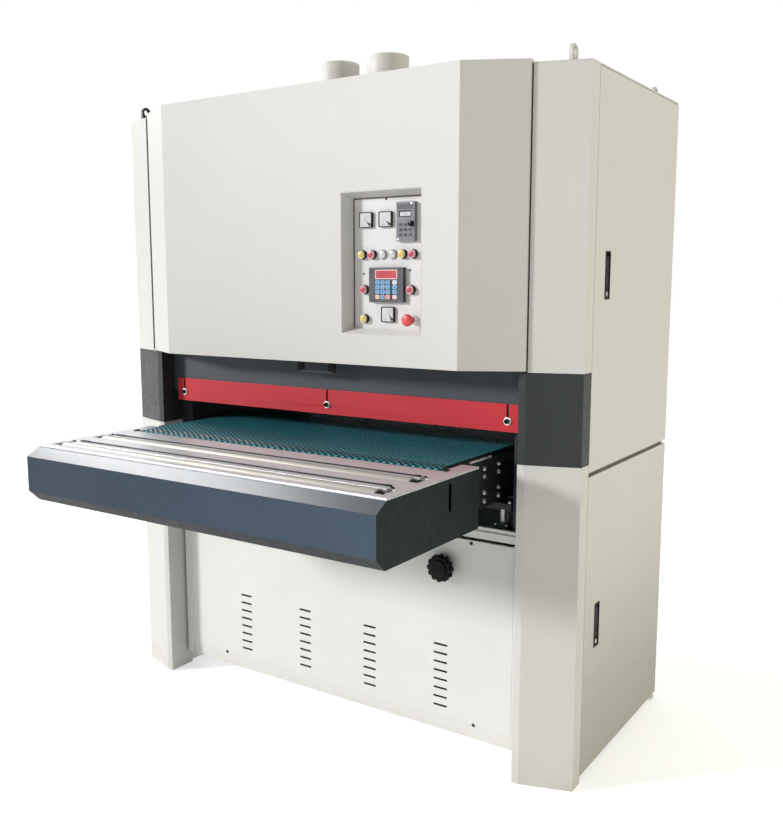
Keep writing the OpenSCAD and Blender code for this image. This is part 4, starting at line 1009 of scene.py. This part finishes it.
def hood_seal():
    """Black rubber seal on the columns, just outside the edges of the front hood."""
    p = Piece("hood_seal", "frame", "rubber_black")

    def strip(s, profile, *spans):
        pts = []
        for x, lift in profile:
            t = (x - 786) / 159
            pts.append((s * (x + 0.311 * lift), -177 + 52 * t - 0.95 * lift))
        for z0, z1 in spans:
            p.slab("z", pts, z0, z1, RUBBER, 0.2)

    strip(1, ((790, 0.0), (790, 1.2), (789, 1.6), (787, 1.2), (787, 0.0)), (1306, 2178))
    strip(-1, ((814, 0.0), (814, 1.6), (809, 2.2), (803, 1.6), (799.5, 1.0), (799.5, 0.0)), (1306, 2178))
    p.done(50)


hood_seal()


# ------------------------------------------------------------------ stage, light, camera

def studio():
    w = bpy.data.worlds.new("studio")
    scene.world = w
    w.use_nodes = True
    t = w.node_tree
    bg = t.nodes["Background"]
    bg.inputs["Strength"].default_value = 1.0
    # white behind the machine, dimmer and warmer all round
    co = t.nodes.new("ShaderNodeTexCoord")
    dot = t.nodes.new("ShaderNodeVectorMath")
    dot.operation = "DOT_PRODUCT"
    dot.inputs[1].default_value = (-0.5556, 0.8315, 0.0)
    t.links.new(co.outputs["Generated"], dot.inputs[0])
    fit = t.nodes.new("ShaderNodeMapRange")
    fit.inputs["From Min"].default_value, fit.inputs["From Max"].default_value = -1.0, 1.0
    t.links.new(dot.outputs["Value"], fit.inputs["Value"])
    ramp = t.nodes.new("ShaderNodeValToRGB")
    e = ramp.color_ramp.elements
    e[0].position, e[0].color = 0.76, (0.34, 0.33, 0.305, 1)
    e[1].position, e[1].color = 0.91, (1.0, 1.0, 1.0, 1)
    t.links.new(fit.outputs["Result"], ramp.inputs["Fac"])
    t.links.new(ramp.outputs["Color"], bg.inputs["Color"])

    me = bpy.data.meshes.new("floor")
    bm = bmesh.new()
    bmesh.ops.create_circle(bm, cap_ends=True, segments=96, radius=70)
    bm.to_mesh(me)
    bm.free()
    floor = bpy.data.objects.new("floor", me)
    scene.collection.objects.link(floor)
    f = Mat("floor_pale", Emission_Color=(0.94, 0.97, 1.0, 1), Emission_Strength=0.46)
    f.color(f.ramp(f.noise(0.8, 3), (0.3, (0.94, 0.94, 0.94)), (0.7, (0.955, 0.955, 0.955))))
    f.rough(f.span(f.noise(3, 3), 0.75, 0.9, 0.3, 0.7))
    me.materials.append(f.m)

    def lamp(kind, name, loc, aim, power, color=(1, 1, 1), size=None, angle=None):
        d = bpy.data.lights.new(name, kind)
        d.energy = power
        d.color = color
        if size:
            d.shape = "RECTANGLE"
            d.size, d.size_y = size
        if angle:
            d.angle = math.radians(angle)
        o = bpy.data.objects.new(name, d)
        scene.collection.objects.link(o)
        o.location = loc
        o.rotation_euler = (Vector(aim) - Vector(loc)).to_track_quat("-Z", "Y").to_euler()

    def away(azimuth, elevation, far=8.0):
        """Point seen from the machine at that azimuth, from the front towards the left, and elevation."""
        a, e = math.radians(azimuth), math.radians(elevation)
        return (-far * math.cos(e) * math.sin(a), -far * math.cos(e) * math.cos(a), far * math.sin(e))

    lamp("SUN", "key_left", away(46, 17), (0, 0, 0), 3.08, (0.985, 0.98, 0.99), angle=9)
    lamp("SUN", "fill_right", away(-115, 12), (0, 0, 0), 0.8, (1.0, 0.94, 0.77), angle=70)
    lamp("AREA", "soft_left", (-3.57, 0.05, 3.95), (-0.3, -0.81, 1.0), 74, size=(0.7, 2.8))
    lamp("AREA", "window_left", (-3.85, -0.42, 0.95), (-0.87, -0.15, 1.16), 9, size=(1.0, 1.5))
    lamp("AREA", "side_right", (3.7, 0.55, 2.6), (0.945, 0.4, 1.75), 24, (1.0, 0.92, 0.63), size=(1.6, 1.2))


studio()
scene.view_settings.view_transform = "Standard"

cam = bpy.data.objects.new("camera", bpy.data.cameras.new("camera"))
scene.collection.objects.link(cam)
cam.data.sensor_width = 36.0
cam.data.sensor_fit = "AUTO"
cam.data.lens = 924.44 * 36.0 / 822.0
cam.data.clip_start, cam.data.clip_end = 0.05, 300
cam.location = (1.9651, -2.6567, 1.5673)
cam.rotation_euler = (math.pi / 2 - 0.1394, 0.0, 0.5891)
scene.camera = cam
